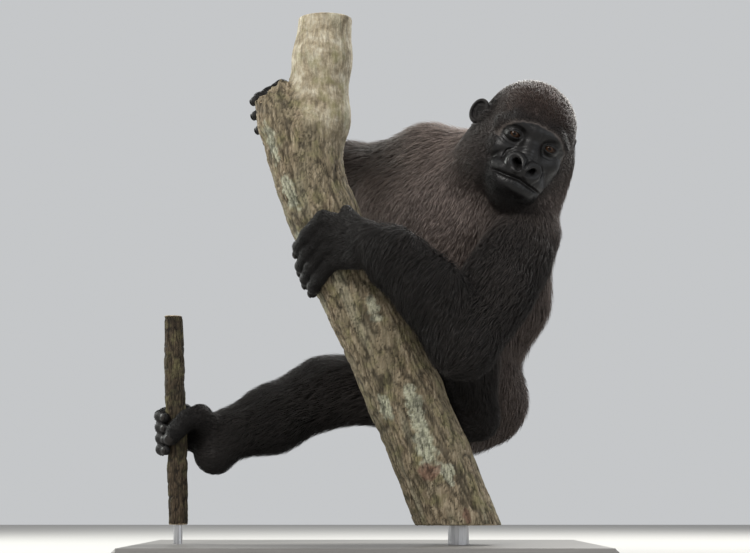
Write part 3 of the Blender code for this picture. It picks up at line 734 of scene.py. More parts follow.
def eye_forms(side):
    """The lids: a shell over the eyeball with an almond opening, and the folds round it."""
    centre = (side * EYE_SIDE, EYE_UP, EYE_DEEP)
    forms = [head_mass(centre, (EYE_RADIUS + 0.0021,) * 3, blend=0.0040)]
    forms.append(Crease(arc(centre[:2], 0.0130, 0.0085, (20, 160)), 0.0009, 0.0013))
    forms.append(Crease(arc(centre[:2], 0.0165, 0.0125, (35, 150)), 0.0010, 0.0007))
    for size, depth in ((1.00, 0.0010), (1.36, 0.0012), (1.74, 0.0010), (2.16, 0.0007)):
        forms.append(Crease(arc(centre[:2], 0.0125 * size, 0.0088 * size, (205, 335)), 0.0013, depth))
    for turn in (-22, 0, 20):
        wrinkle = [skewed((centre[0] + side * reach, centre[1]), centre[:2], turn * side)
                   for reach in (0.015, 0.020, 0.025)]
        forms.append(Crease(wrinkle, 0.0012, 0.0005))
    opening = (centre[0], centre[1] - 0.0006, centre[2] + 0.011)
    forms.append(head_mass(opening, (0.0091, 0.0038, 0.0080), blend=0.0014, carve=True))
    return forms


def nose_forms():
    """The flat bridge and the two broad wings round the nostrils, with the cleft between them."""
    bridge = (0, -0.008, 0.0710)
    forms = [head_limb((0, 0.018, 0.0590), bridge, 0.0095, 0.0120, 0.012),
             head_limb(bridge, on_nose(0, -0.027, 0.0840), 0.0120, 0.0120, 0.012),
             head_limb(on_nose(-0.012, -0.037, 0.0850), on_nose(0.012, -0.037, 0.0850),
                       0.0105, 0.0105, 0.008)]
    for side in (-1, 1):
        rim = [on_nose(side * (0.0148 + 0.0112 * math.cos(turn)), -0.0300 + 0.0106 * math.sin(turn),
                       0.0905 - 0.0058 * math.cos(turn) - 0.0030 * math.sin(turn))
               for turn in turns(-50, 240, 21)]
        forms += head_path(rim, 0.0046, 0.0040)
        mouth_of_nostril = (on_nose(side * 0.0140, -0.0330, 0.0995), on_nose(side * 0.0105, -0.0240, 0.0780))
        inner_corner = (on_nose(side * 0.0085, -0.0360, 0.0990), on_nose(side * 0.0075, -0.0280, 0.0820))
        forms.append(head_limb(*mouth_of_nostril, 0.0066, 0.0044, 0.0035, carve=True))
        forms.append(head_limb(*inner_corner, 0.0048, 0.0030, 0.0030, carve=True))
        outer = [on_nose(side * 0.0235, -0.0100), on_nose(side * 0.0315, -0.0210),
                 on_nose(side * 0.0318, -0.0350), on_nose(side * 0.0255, -0.0450)]
        forms.append(Crease(outer, 0.0020, 0.0026))
    forms.append(Crease([on_nose(0, -0.0130), on_nose(0, -0.0240), on_nose(0, -0.0330)], 0.0024, 0.0024))
    for step in range(3):
        height = -0.0035 - 0.0048 * step
        forms.append(Crease([(-0.0150, height - 0.003), (-0.004, height), (0.006, height),
                             (0.0160, height - 0.004)], 0.0010, 0.0008))
    return forms


def mouth_forms():
    """Upper and lower lip, the line between them, and the folds at the sides of the muzzle."""
    across = np.linspace(-1, 1, 7)
    upper = [on_mouth(0.0350 * turn, -0.0440 - 0.002 * turn * turn, 0.0850 - 0.0210 * turn * turn)
             for turn in across]
    lower = [on_mouth(0.0300 * turn, -0.0625, 0.0835 - 0.0190 * turn * turn) for turn in across]
    line = [on_mouth(0.0480 * turn, -0.0525 - 0.0030 * turn * turn + 0.0022 * math.exp(-(turn / 0.22) ** 2))
            for turn in np.linspace(-1, 1, 13)]
    chin_fold = [on_mouth(0.0240 * turn, -0.0760 + 0.004 * turn * turn) for turn in across]
    forms = head_path(upper, 0.0100, 0.009) + head_path(lower, 0.0118, 0.009)
    forms += [Crease(line, 0.0036, 0.0020), Crease(line, 0.0020, 0.0022), Crease(chin_fold, 0.0040, 0.0022)]
    for side in (-1, 1):
        fold = [on_mouth(side * 0.0345, -0.0170), on_mouth(side * 0.0430, -0.0300),
                on_mouth(side * 0.0480, -0.0430)]
        forms.append(Crease(fold, 0.0036, 0.0015))
        for step in range(4):
            crease = arc((side * 0.030, -0.056), 0.0150 + 0.0042 * step, 0.0140 + 0.005 * step,
                         (-65, 25) if side > 0 else (155, 245), 6)
            forms.append(Crease(crease, 0.0014, 0.0009 - 0.00012 * step))
        for step in range(5):
            left = side * (0.004 + 0.0062 * step)
            forms.append(Crease([on_mouth(left, -0.0550), on_mouth(left * 1.04, -0.0605)], 0.0011, 0.0005))
            forms.append(Crease([on_mouth(left, -0.0500), on_mouth(left * 1.02, -0.0450)], 0.0011, 0.0004))
    return forms


def ear_frame(side):
    """The middle of an ear, and its directions outward across, up, and out of its hollow."""
    out, back, flat = EARS[side]
    upright = math.sqrt(1 - flat ** 2)
    across = unit(at(side * upright, 0.10, -flat))
    face = unit(at(side * flat, 0.00, upright))
    return at(side * out, 0.026, back), across, unit(np.cross(face, across) * side), face


def ear_forms(side):
    """An ear: shell, rolled rim, inner ridge and hollow. The right one stands off, the left one lies flat."""
    middle, across, up, face = ear_frame(side)

    def on_ear(right, high, forward):
        return tuple(middle + across * right + up * high + face * forward)

    axes = np.array([across, up, face]) @ HEAD_AXES
    shell = Mass(on_head(*on_ear(-0.001, 0, -0.0015)), (0.0135, 0.0180, 0.0042), axes, "face", 0.004)
    hollow = Mass(on_head(*on_ear(-0.002, -0.002, 0.0055)), (0.0078, 0.0100, 0.0058), axes, "face", 0.003,
                  carve=True)
    root = head_limb(on_ear(-0.020, -0.002, -0.004), on_ear(-0.004, -0.001, -0.002), 0.0125, 0.0080, 0.006)
    rim = [on_ear(0.0125 * math.cos(turn), 0.0172 * math.sin(turn), 0.0030)
           for turn in turns(-100, 150, 25)]
    groove = [on_ear(0.0085 * math.cos(turn), 0.0130 * math.sin(turn), 0.0040)
              for turn in turns(-60, 120, 17)]
    ridge = [on_ear(-0.002, 0.0105, 0.002), on_ear(0.0055, 0.0075, 0.002), on_ear(0.0062, -0.002, 0.002),
             on_ear(0.001, -0.0095, 0.002)]
    flap = head_limb(on_ear(-0.0115, -0.004, 0.003), on_ear(-0.0095, 0.002, 0.005), 0.0030, 0.0024, 0.003)
    return [root, shell, *head_path(rim, 0.0026, 0.0026), hollow, *head_path(groove, 0.0016, 0.0020, True),
            *head_path(ridge, 0.0015, 0.0016), flap]


def head_forms():
    """The whole head in the order in which it is built up and carved."""
    forms = skull_forms() + brow_forms() + nose_forms() + mouth_forms()
    return forms + eye_forms(-1) + eye_forms(1) + ear_forms(-1) + ear_forms(1)


# ---------------------------------------------------------------- meshes
def in_scene(name, data):
    """A new object of the scene."""
    piece = bpy.data.objects.new(name, data)
    bpy.context.scene.collection.objects.link(piece)
    return piece


def mesh_from(name, points, faces):
    """A smooth mesh object from arrays of points and of faces with equal corner counts."""
    sides = faces.shape[1]
    mesh = bpy.data.meshes.new(name)
    mesh.vertices.add(len(points))
    mesh.vertices.foreach_set("co", np.ascontiguousarray(points, dtype=np.float32).ravel())
    mesh.loops.add(faces.size)
    mesh.loops.foreach_set("vertex_index", np.ascontiguousarray(faces, dtype=np.int32).ravel())
    mesh.polygons.add(len(faces))
    mesh.polygons.foreach_set("loop_start", np.arange(0, faces.size, sides, dtype=np.int32))
    mesh.polygons.foreach_set("loop_total", np.full(len(faces), sides, dtype=np.int32))
    mesh.update(calc_edges=True)
    mesh.shade_smooth()
    return in_scene(name, mesh)


def built(name, bm, surface, smooth=False):
    """A new object from a finished bmesh."""
    mesh = bpy.data.meshes.new(name)
    bm.to_mesh(mesh)
    bm.free()
    if smooth:
        mesh.shade_smooth()
    mesh.materials.append(surface)
    return in_scene(name, mesh)


def read_rows(items, attribute, kind=np.float32):
    """One attribute of a row of mesh elements, three numbers to each."""
    flat = np.empty(len(items) * 3, dtype=kind)
    items.foreach_get(attribute, flat)
    return flat.reshape(-1, 3)


def points_of(mesh):
    """A mesh's vertices as rows."""
    return read_rows(mesh.vertices, "co").astype(np.float64)


def put_points(mesh, points):
    """Move a mesh's vertices."""
    mesh.vertices.foreach_set("co", points.astype(np.float32).ravel())
    mesh.update()


def applied(piece):
    """Replace a piece's mesh by its evaluated one, without modifiers."""
    graph = bpy.context.evaluated_depsgraph_get()
    mesh = bpy.data.meshes.new_from_object(piece.evaluated_get(graph))
    piece.modifiers.clear()
    piece.data = mesh


def drawn_onto(forms, points, rounds):
    """Points moved onto the surface of the forms by Newton steps."""
    for _ in range(rounds):
        value, normal = slope_at(forms, points)
        points = points - normal * np.clip(value, -NEWTON_STEP, NEWTON_STEP)[:, None]
    return points


def face_share(points):
    """1 on the bare skin of the face, 0 well outside it."""
    left, up, out = in_head(points).T
    side = np.abs(left - 0.004) / 0.0560
    above = np.sqrt(side ** 2 + (np.maximum(up + 0.06 * left - 0.004, 0) / 0.0345) ** 2)
    narrow = 1 + 1.6 * np.minimum(up, 0)
    below = np.sqrt((side / narrow) ** 2 + (np.maximum(-up - 0.020, 0) / 0.0560) ** 2)
    edge = np.maximum(above, below) + 0.05 * noise(points, 0.006, 5)
    return smoothstep(1.08, 0.94, edge) * smoothstep(0.008, 0.022, out)


def detail_share(points, forms):
    """1 where the skin shows and needs fine faces: face, ears, fingers and toes."""
    best = np.full(len(points), REACH)
    for form in forms:
        if form.carve or form.coat not in (COATS["face"], COATS["finger"], COATS["fingertip"]):
            continue
        near = form.near(points)
        best[near] = np.minimum(best[near], form.distance(points[near]))
    return smoothstep(0.006, 0.002, best)


def thin_under_coat(skin, forms):
    """Fewer faces where the coat covers the skin."""
    covered = detail_share(points_of(skin.data), forms) < 0.5
    group = skin.vertex_groups.new(name="coat")
    group.add([int(index) for index in np.nonzero(covered)[0]], 1.0, "REPLACE")
    thin = skin.modifiers.new("thin", "DECIMATE")
    bare_triangles = 2 * int((~covered).sum())
    thin.ratio = (bare_triangles + COVERED_TRIANGLES) / (2 * len(skin.data.polygons))
    thin.vertex_group = "coat"
    applied(skin)
    skin.vertex_groups.clear()


def refined(skin, share_of):
    """Split the faces where the given share is high, twice as fine."""
    bm = bmesh.new()
    bm.from_mesh(skin.data)
    bm.verts.ensure_lookup_table()
    points = np.array([vert.co for vert in bm.verts], dtype=np.float64)
    chosen = share_of(points) > 0.5
    edges = [edge for edge in bm.edges if chosen[edge.verts[0].index] and chosen[edge.verts[1].index]]
    bmesh.ops.subdivide_edges(bm, edges=edges, cuts=1, use_grid_fill=True)
    bmesh.ops.triangulate(bm, faces=[face for face in bm.faces if len(face.verts) > 4])
    bm.to_mesh(skin.data)
    bm.free()


def feature_share(points):
    """1 round the eyes, nose and mouth, which carry the finest folds."""
    left, up, out = in_head(points).T
    left = np.abs(left)
    eyes = (np.abs(left - EYE_SIDE) < 0.020) & (np.abs(up - EYE_UP + 0.002) < 0.015)
    nose = (left < 0.036) & (np.abs(up + 0.030) < 0.022)
    mouth = (left < 0.052) & (np.abs(up + 0.057) < 0.011)
    return ((eyes | nose | mouth) & (out > 0.034)).astype(float)


def front_share(points):
    """1 on the front of the head and on the ears."""
    left, up, out = in_head(points).T
    front = (np.abs(left) < 0.060) & (up > -0.092) & (up < 0.044) & (out > 0.022)
    ear = (np.abs(left) > 0.068) & (np.abs(up - 0.026) < 0.024) & (out > -0.045)
    return (front | ear).astype(float)


def finished_skin(forms):
    """One closed skin over the whole body at its final density, every point drawn onto the true surface."""
    skin = mesh_from("skin", *net_of(forms, SKIN_STEP, 0.01))
    thin_under_coat(skin, forms)
    put_points(skin.data, drawn_onto(forms, points_of(skin.data), 1))
    refined(skin, front_share)
    put_points(skin.data, drawn_onto(forms, points_of(skin.data), 1))
    refined(skin, feature_share)
    put_points(skin.data, drawn_onto(forms, points_of(skin.data), 2))
    skin.data.shade_smooth()
    return skin


# ---------------------------------------------------------------- how the coat lies
class Growth:
    """What grows at each of some points: length, lift, colour, lie and the coat piece it belongs to."""

    def __init__(self, points, body, pieces):
        nearest = np.full(len(points), 10.0)
        reach = np.empty((len(body), len(points)), dtype=np.float32)
        for row, form in enumerate(body):
            reach[row] = form.distance(points)
            nearest = np.minimum(nearest, reach[row])
        weights = np.exp(-(reach - nearest) / COAT_BLEND)
        weights /= weights.sum(axis=0)
        self.length = weights.T @ np.array([form.coat.length for form in body])
        self.lift = weights.T @ np.array([form.coat.lift for form in body])
        self.tint = weights.T @ np.array([form.coat.tint for form in body])
        self.flow = weights.T @ np.array([form.flow for form in body])
        self.piece = np.array(pieces)[np.argmax(weights, axis=0)]
        self.headed = np.isin(self.piece, ("coat_head", "coat_cheek"))
        self.bare = face_share(points)
        self.trim_face(in_head(points))
        self.mark(points)

    def trim_face(self, local):
        """Bare skin on face and ears, and hair that lengthens away from the face and lies back from it."""
        on_front = smoothstep(-0.030, 0.010, local[:, 2])
        outward = local[:, :2] - (0.004, -0.020)
        span = np.sqrt((outward[:, 0] / 0.054) ** 2 + (outward[:, 1] / 0.060) ** 2)
        near_face = on_front * smoothstep(1.75, 1.0, span)
        wanted = 0.006 + 0.013 * smoothstep(1.0, 1.6, span)
        trimmed = np.minimum(np.where(self.length < 0.004, 0.014, self.length), wanted)
        self.length = np.where(self.headed & (near_face > 0.02), trimmed, self.length) * (1 - self.bare)
        away = unit(np.column_stack([outward, np.full(len(local), -0.030)])) @ HEAD_AXES
        blend = (near_face * self.headed)[:, None]
        self.flow = self.flow * (1 - blend) + away * blend
        for side in EARS:
            middle, *axes = ear_frame(side)
            by_ear = np.linalg.norm((local - middle) @ np.array(axes).T / (0.019, 0.021, 0.011), axis=1)
            self.length[by_ear < 1] = 0

    def mark(self, points):
        """The bare face, a painted highlight of pale backlight on the skin and hair along its upper edge, and
        the slow changes of the coat's colour.
        """
        _, up, out = in_head(points).T
        # painted highlight: a pale rim of backlight on the skin and hair along the upper edge of the bare
        # face
        edge = 4 * self.bare * (1 - self.bare) * (up > 0.0) * (out > 0.01)
        for colour, share in ((BARE, smoothstep(0.25, 0.75, self.bare)), (PAINTED_RIM_LIGHT, edge * self.headed * 0.24)):
            self.tint = self.tint * (1 - share[:, None]) + np.array(colour) * share[:, None]
        shade = 1 + 0.22 * layered(points, 0.070, 21) + 0.12 * layered(points, 0.018, 22)
        self.tint = self.tint * shade[:, None]


def tint_layer(mesh, colours):
    """Store a colour for each vertex."""
    layer = mesh.color_attributes.new("tint", "FLOAT_COLOR", "POINT")
    rows = np.ones((len(mesh.vertices), 4), dtype=np.float32)
    rows[:, :3] = colours
    layer.data.foreach_set("color", rows.ravel())


def value_layer(mesh, name, values):
    """Store a number for each vertex."""
    layer = mesh.attributes.new(name, "FLOAT", "POINT")
    layer.data.foreach_set("value", np.asarray(values, dtype=np.float32))


# ---------------------------------------------------------------- tufts
def in_wood(forms, points):
    """Which points lie inside the wood or pressed on it."""
    return field_at(forms, points) < 0.0005


def along_each(first, second):
    """The product of two vectors, row by row."""
    return np.einsum("ni,ni->n", first, second)


class Tufts:
    """Thin closed spikes that grow from the skin, lie over it, and stay out of the wood."""

    def __init__(self, skin, growth, forms, wood, count, rng):
        skin.data.calc_loop_triangles()
        corners = read_rows(skin.data.loop_triangles, "vertices", np.int32)
        points = points_of(skin.data)
        normals = read_rows(skin.data.vertex_normals, "vector").astype(np.float64)
        a, b, c = (points[corners[:, side]] for side in range(3))
        area = np.linalg.norm(np.cross(b - a, c - a), axis=1) / 2
        length = growth.length[corners].mean(axis=1)
        density = np.clip(TUFT_SPARSE / np.maximum(length, 0.004), 0.8, 4.2)
        want = area * np.where(length > TUFT_SHORTEST, density, 0)
        want[in_wood(wood, (a + b + c) / 3)] = 0
        chosen = np.sort(rng.choice(len(area), size=count, p=want / want.sum()))
        r1, r2 = rng.random(count), rng.random(count)
        share = np.column_stack([1 - np.sqrt(r1), np.sqrt(r1) * (1 - r2), np.sqrt(r1) * r2])

        def spread(values):
            return np.einsum("ni,ni...->n...", share, values[corners[chosen]])

        self.forms = forms
        self.wood = wood
        self.root = spread(points)
        self.normal = unit(spread(normals))
        self.length = spread(growth.length) * (0.62 + 0.50 * rng.random(count))
        self.lift = spread(growth.lift) * (0.45 + 1.0 * rng.random(count))
        self.tint = spread(growth.tint) * (0.75 + 0.55 * rng.random(count))[:, None]
        self.piece = growth.piece[corners[chosen, 0]]
        self.lay(spread(growth.flow), rng)

    def lay(self, flow, rng):
        """Where each tuft's middle and tip come to lie."""
        along = unit(flow - self.normal * along_each(flow, self.normal)[:, None])
        side = np.cross(self.normal, along)
        sway = (0.30 * layered(self.root, 0.060, 31) + 0.12 * noise(self.root, 0.011, 32)
                + 0.11 * rng.standard_normal(len(self.root)))
        along = along * np.cos(sway)[:, None] + side * np.sin(sway)[:, None]
        self.side = np.cross(self.normal, along)
        rise = np.sin(self.lift)
        risen = along * np.cos(self.lift)[:, None] + self.normal * rise[:, None]
        middle = self.root + risen * (TUFT_MIDDLE * self.length)[:, None]
        middle, normal = self.settled(middle, TUFT_MIDDLE * self.length * rise)
        ahead = unit(middle - self.root)
        onward = unit(ahead - normal * (0.55 * along_each(ahead, normal))[:, None] + at(0, 0, -0.10))
        tip, _ = self.settled(middle + onward * (TUFT_TIP * self.length)[:, None], self.length * rise * 0.80)
        tip = self.gathered(middle, tip, rng)
        self.middle = self.out_of_wood(middle)
        self.tip = self.out_of_wood(tip)

    def settled(self, points, rise):
        """Points brought to a height over the skin, and the way up from the skin there."""
        height, normal = slope_at(self.forms, points, REACH)
        return points + normal * np.clip(rise + TUFT_GAP - height, -0.02, 0.02)[:, None], normal

    def gathered(self, middle, tip, rng):
        """Neighbouring tips drawn a little together into locks."""
        count = len(self.root)
        leaders = rng.choice(count, size=count // LOCK_TUFTS, replace=False)
        tree = KDTree(len(leaders))
        for row, leader in enumerate(leaders):
            tree.insert(self.root[leader], row)
        tree.balance()
        nearest = np.array([leaders[tree.find(point)[1]] for point in self.root])
        strength = np.clip((self.length - 0.012) / 0.030, 0, 1) * (0.10 + 0.30 * rng.random(count))
        target = middle + unit(tip[nearest] - middle) * np.linalg.norm(tip - middle, axis=1)[:, None]
        close = np.linalg.norm(self.root[nearest] - self.root, axis=1) < LOCK_REACH
        return tip + (target - tip) * (strength * close)[:, None]

    def out_of_wood(self, points):
        """Points pushed just clear of the bark."""
        height, normal = slope_at(self.wood, points)
        return points + normal * np.clip(BARK_GAP - height, 0, 0.03)[:, None]

    def mesh_of(self, name, rows):
        """The closed meshes of some tufts, joined into one coat piece with its colours and its map."""
        root, middle, tip = self.root[rows], self.middle[rows], self.tip[rows]
        normal, side, length = self.normal[rows], self.side[rows], self.length[rows]
        width = 0.00030 + 0.0080 * np.clip(length, 0.006, 0.045)
        flat = normal * (0.42 * width)[:, None]
        across = side * width[:, None]
        rings = []
        for centre, size in ((root - normal * TUFT_ROOT, 0.75), (middle, 1.0)):
            rings += [centre + across * size, centre - across * size, centre + flat * (1.6 * size)]
        points = np.stack([*rings, tip], axis=1).reshape(-1, 3)
        one = np.array([(0, 1, 4), (0, 4, 3), (1, 2, 5), (1, 5, 4), (2, 0, 3), (2, 3, 5),
                        (3, 4, 6), (4, 5, 6), (5, 3, 6), (0, 2, 1)])
        faces = (np.arange(len(root))[:, None, None] * 7 + one[None]).reshape(-1, 3)
        piece = mesh_from(name, points, faces)
        # painted shade darkens each tuft towards its root, where the tufts lie under one another, and a
        # painted highlight lightens its tip
        painted_root_shade_tip_light = np.array([0.55, 0.55, 0.55, 1.0, 1.0, 1.0, 1.35])
        tint_layer(piece.data, (self.tint[rows][:, None, :] * painted_root_shade_tip_light[None, :, None]).reshape(-1, 3))
        map_tufts(piece.data, root, faces)
        return piece


def map_tufts(mesh, root, faces):
    """Each tuft's patch on the map, at its root's place on the piece's skin rolled out flat."""
    middle = root.mean(axis=0)
    spread = np.linalg.eigh(np.cov((root - middle).T))[1]
    local = (root - middle) @ spread
    turn = np.arctan2(local[:, 0], local[:, 1]) / (2 * math.pi) + 0.5
    along = (local[:, 2] - local[:, 2].min()) / np.ptp(local[:, 2])
    corner = np.array([(0, 0), (1, 0), (0.5, 0.4), (0, 0.6), (1, 0.6), (0.5, 0.8), (0.5, 1)]) * TUFT_PATCH
    place = np.column_stack([turn, along]) * (1 - 2 * TUFT_PATCH) + TUFT_PATCH / 2
    places = (place[:, None] + corner[None]).reshape(-1, 2)
    layer = mesh.uv_layers.new(name="OFBake")
    layer.data.foreach_set("uv", places[faces.ravel()].astype(np.float32).ravel())


# ---------------------------------------------------------------- eyes and nails
def make_eye(name, side, camera_place, surface):
    """An eyeball with a raised cornea, turned towards the viewer."""
    centre = on_head(side * EYE_SIDE, EYE_UP, EYE_DEEP)
    bm = bmesh.new()
    bmesh.ops.create_uvsphere(bm, u_segments=48, v_segments=32, radius=EYE_RADIUS)
    for vert in bm.verts:
        reach = math.hypot(vert.co.x, vert.co.y)
        if vert.co.z > 0 and reach < CORNEA_REACH:
            vert.co.z += CORNEA_RISE * (1 - (reach / CORNEA_REACH) ** 2)
    eye = built(name, bm, surface, smooth=True)
    gaze = Vector(unit(0.75 * unit(camera_place - centre) + 0.25 * HEAD_AXES[2]))
    turn = gaze.to_track_quat("Z", "Y").to_matrix().to_4x4()
    eye.matrix_world = Matrix.Translation(Vector(centre)) @ turn
    return eye


def make_nails(surface):
    """A thin curved plate on the back of each fingertip and toe tip."""
    points = []
    faces = []
    for tip, along, outward, radius in NAILS:
        across = unit(np.cross(along, outward))
        above = unit(np.cross(across, along))
        faces += nail_faces(len(points))
        for layer, row, column in np.ndindex(2, NAIL_STEPS + 1, NAIL_STEPS + 1):
            narrow = 1.0 - 0.40 * abs(2 * row / NAIL_STEPS - 1) ** 3
            turn = (column / NAIL_STEPS - 0.5) * 2 * NAIL_HALF_TURN * narrow
            reach = (row / NAIL_STEPS - 0.50) * 1.20 * radius + 0.26 * radius * math.cos(turn)
            round_off = math.sqrt(max(0.2, 1 - (max(0.0, reach) / (1.12 * radius)) ** 2))
            size = radius * 0.965 * round_off + layer * NAIL_THICK
            points.append(tip + along * reach + (across * math.sin(turn) + above * math.cos(turn)) * size)
    nails = mesh_from("nails", np.array(points), np.array(faces))
    nails.data.materials.append(surface)
    return nails


def nail_faces(under):
    """Faces of one closed plate: outer side, inner side and the rim between."""
    wide = NAIL_STEPS + 1
    over = under + wide * wide
    faces = []
    for row, column in np.ndindex(NAIL_STEPS, NAIL_STEPS):
        corner = row * wide + column
        faces.append((over + corner, over + corner + 1, over + corner + wide + 1, over + corner + wide))
        faces.append((under + corner, under + corner + wide, under + corner + wide + 1, under + corner + 1))
    edge = [column for column in range(wide)] + [row * wide + NAIL_STEPS for row in range(1, wide)]
    edge += [NAIL_STEPS * wide + column for column in range(NAIL_STEPS - 1, -1, -1)]
    edge += [row * wide for row in range(NAIL_STEPS - 1, 0, -1)]
    for here, after in zip(edge, edge[1:] + edge[:1]):
        faces.append((under + here, under + after, over + after, over + here))
    return faces


# ---------------------------------------------------------------- wood
def wood_forms(stations, depth, blend):
    """Rounded lengths of wood through their stations."""
    points = [at(x, depth, z) for x, z, _ in stations]
    return chain(points, [radius for _, _, radius in stations], blend=blend)


def trunk_wood():
    """The leaning trunk with its live fork, sawn below and above and broken off at its old top."""
    top = at(TRUNK[-1][0], WOOD_Y, TRUNK[-1][1])
    lean = unit(at(TRUNK[-1][0] - TRUNK[-3][0], 0, TRUNK[-1][1] - TRUNK[-3][1]))
    forms = wood_forms(TRUNK, WOOD_Y, 0.006)
    break_cut = Cut(top + lean * 0.004, lean + at(-0.25, 0, 0.2), 0.007, 41)
    fork = wood_forms(BRANCH, WOOD_Y, 0.020)
    knot = Limb(at(-0.086, WOOD_Y - 0.020, 0.655), at(-0.094, WOOD_Y - 0.045, 0.668), 0.030, 0.020,
                blend=0.02)
    return [*forms, break_cut, *fork, knot, Cut(at(0.14, WOOD_Y, SAW_HEIGHT), at(0, 0, -1)),
            Cut(at(BRANCH[-1][0], WOOD_Y, BRANCH[-1][1]), at(0, 0, 1))]


def stem_wood():
    """The thin stem, sawn at both ends."""
    return [*wood_forms(STEM, STEM_Y, 0.004), Cut(at(STEM[0][0], STEM_Y, SAW_HEIGHT), at(0, 0, -1)),
            Cut(at(STEM[-1][0], STEM_Y, STEM[-1][1]), at(0, 0, 1))]


def ridged(points, size, seed):
    """0 along winding lines, 1 between them."""
    return np.clip(np.abs(noise(points, size, seed)) * 3.2, 0, 1)


def make_wood(name, forms, lean, step, fissure, depth, seed, old):
    """A piece of wood with fissured bark; the old trunk also has a calm young branch, lichen and rust."""
    points, faces = net_of(forms, step, 0.008)
    _, normal = slope_at(forms, points)
    along = at(-math.sin(lean), 0, math.cos(lean))
    across = at(math.cos(lean), 0, math.sin(lean))
    grain = np.column_stack([points @ across, points[:, 1], points @ along / 5.5])
    pit = 1 - ridged(grain, fissure, seed) * (0.35 + 0.65 * ridged(grain, fissure * 0.45, seed + 1))
    sawn = np.abs(normal @ at(0, 0, 1)) > SAWN_SLOPE
    calm = bark_calm(points) * old
    strength = np.where(sawn, 0, 1 - 0.75 * calm)
    lump = 0.0016 * noise(points, 0.045, seed + 3) + 0.0007 * noise(points, 0.012, seed + 4)
    points = points + normal * (strength * (lump - depth * pit))[:, None]
    piece = mesh_from(name, points, faces)
    old_bark = old * (1 - sawn)
    film = 0.30 * smoothstep(0.35, 0.8, layered(grain, 0.030, 61))
    for layer, values in (("pit", pit * strength), ("calm", calm), ("sawn", sawn),
                          ("lichen", patches(points, film, LICHEN) * old_bark),
                          ("rust", patches(points, 0 * film, RUST) * old_bark)):
        value_layer(piece.data, layer, values)
    return piece


def bark_calm(points):
    """1 on the smooth young bark of the live branch, 0 on the old trunk."""
    branch = np.min([form.distance(points) for form in wood_forms(BRANCH, WOOD_Y, 0.01)], axis=0)
    trunk = np.min([form.distance(points) for form in wood_forms(TRUNK, WOOD_Y, 0.01)], axis=0)
    return smoothstep(-0.010, 0.012, trunk - branch) * smoothstep(0.60, 0.68, points[:, 2])


def patches(points, total, rows):
    """Ragged patches on the trunk, added to what is there."""
    ragged = 0.55 * layered(points, 0.010, 62)
    lean = at(-math.sin(TRUNK_LEAN), 0, math.cos(TRUNK_LEAN))
    for height, degrees, half_length, half_width in rows:
        offset = points - by_trunk(height, degrees, 0)
        reach = offset @ lean
        aside = np.linalg.norm(offset - reach[:, None] * lean, axis=1)
        gap = np.sqrt((reach / half_length) ** 2 + (aside / half_width) ** 2)
        total = np.maximum(total, smoothstep(1.15, 0.75, gap + ragged))
    return total


# ---------------------------------------------------------------- materials
class Paint:
    """A material's nodes, built up in a few words."""

    def __init__(self, name, roughness, specular):
        self.material = bpy.data.materials.new(name)
        self.material.use_nodes = True
        self.nodes = self.material.node_tree.nodes
        self.links = self.material.node_tree.links
        self.shader = self.nodes["Principled BSDF"]
        self.shader.inputs["Roughness"].default_value = roughness
        self.shader.inputs["Specular IOR Level"].default_value = specular
        self.place = self.node("TexCoord", {}).outputs["Object"]

    def node(self, kind, inputs, **settings):
        """A new node; each input is a socket to link from, a number or a row of numbers."""
        node = self.nodes.new("ShaderNode" + kind)
        for setting, value in settings.items():
            setattr(node, setting, value)
        for socket, source in inputs.items():
            if isinstance(source, bpy.types.NodeSocket):
                self.links.new(source, node.inputs[socket])
            else:
                node.inputs[socket].default_value = source
        return node

    def stored(self, name, output="Fac"):
        """A number, or with "Color" a colour, stored on the mesh."""
        return self.node("Attribute", {}, attribute_name=name).outputs[output]

    def stretched(self, scale, turn=(0, 0, 0)):
        """Object coordinates turned and scaled."""
        inputs = {"Rotation": turn, "Scale": scale, "Vector": self.place}
        return self.node("Mapping", inputs).outputs["Vector"]

    def speckle(self, size, detail=4, rough=0.55, place=None):
        """Noise with features of about that size in metres."""
        return self.node("TexNoise", {"Scale": 1 / size, "Detail": detail, "Roughness": rough,
                                      "Vector": place or self.place}).outputs["Fac"]

    def warped(self, place, size):
        """Coordinates shaken by noise, so that patterns on them run unevenly."""
        shake = self.node("TexNoise", {"Scale": 0.5 / size, "Vector": place}).outputs["Color"]
        return self.node("VectorMath", {0: shake, 1: (size * 1.6,) * 3, 2: place},
                         operation="MULTIPLY_ADD").outputs["Vector"]

    def cells(self, size, place=None):
        """Distance to the borders of small cells."""
        return self.node("TexVoronoi", {"Scale": 1 / size, "Vector": place or self.place},
                         feature="DISTANCE_TO_EDGE").outputs["Distance"]

    def ramp(self, source, *stops):
        """Colours or greys along a value."""
        node = self.node("ValToRGB", {"Fac": source})
        elements = node.color_ramp.elements
        while len(elements) < len(stops):
            elements.new(0.5)
        for element, (position, colour) in zip(elements, stops):
            element.position = position
            element.color = (*colour, 1) if isinstance(colour, tuple) else (colour, colour, colour, 1)
        return node.outputs["Color"]

    def mottle(self, size, detail, low, high):
        """Noise between two colours or greys."""
        return self.ramp(self.speckle(size, detail), (0.3, low), (0.7, high))

    def mixed(self, share, first, second, how="MIX"):
        """Two colours mixed by a share."""
        first, second = ((*one, 1) if isinstance(one, tuple) else one for one in (first, second))
        return self.node("Mix", {0: share, 6: first, 7: second}, data_type="RGBA", blend_type=how).outputs[2]

    def times(self, first, second):
        """Two colours multiplied."""
        return self.mixed(1.0, first, second, "MULTIPLY")

    def colour(self, source):
        self.links.new(source, self.shader.inputs["Base Color"])

    def roughness(self, source):
        self.links.new(source, self.shader.inputs["Roughness"])

    def bump(self, source, depth, strength):
        """Relief on top of the last one, in metres."""
        inputs = {"Strength": strength, "Distance": depth, "Height": source}
        socket = self.shader.inputs["Normal"]
        if socket.is_linked:
            inputs["Normal"] = socket.links[0].from_socket
        self.links.new(self.node("Bump", inputs).outputs["Normal"], socket)


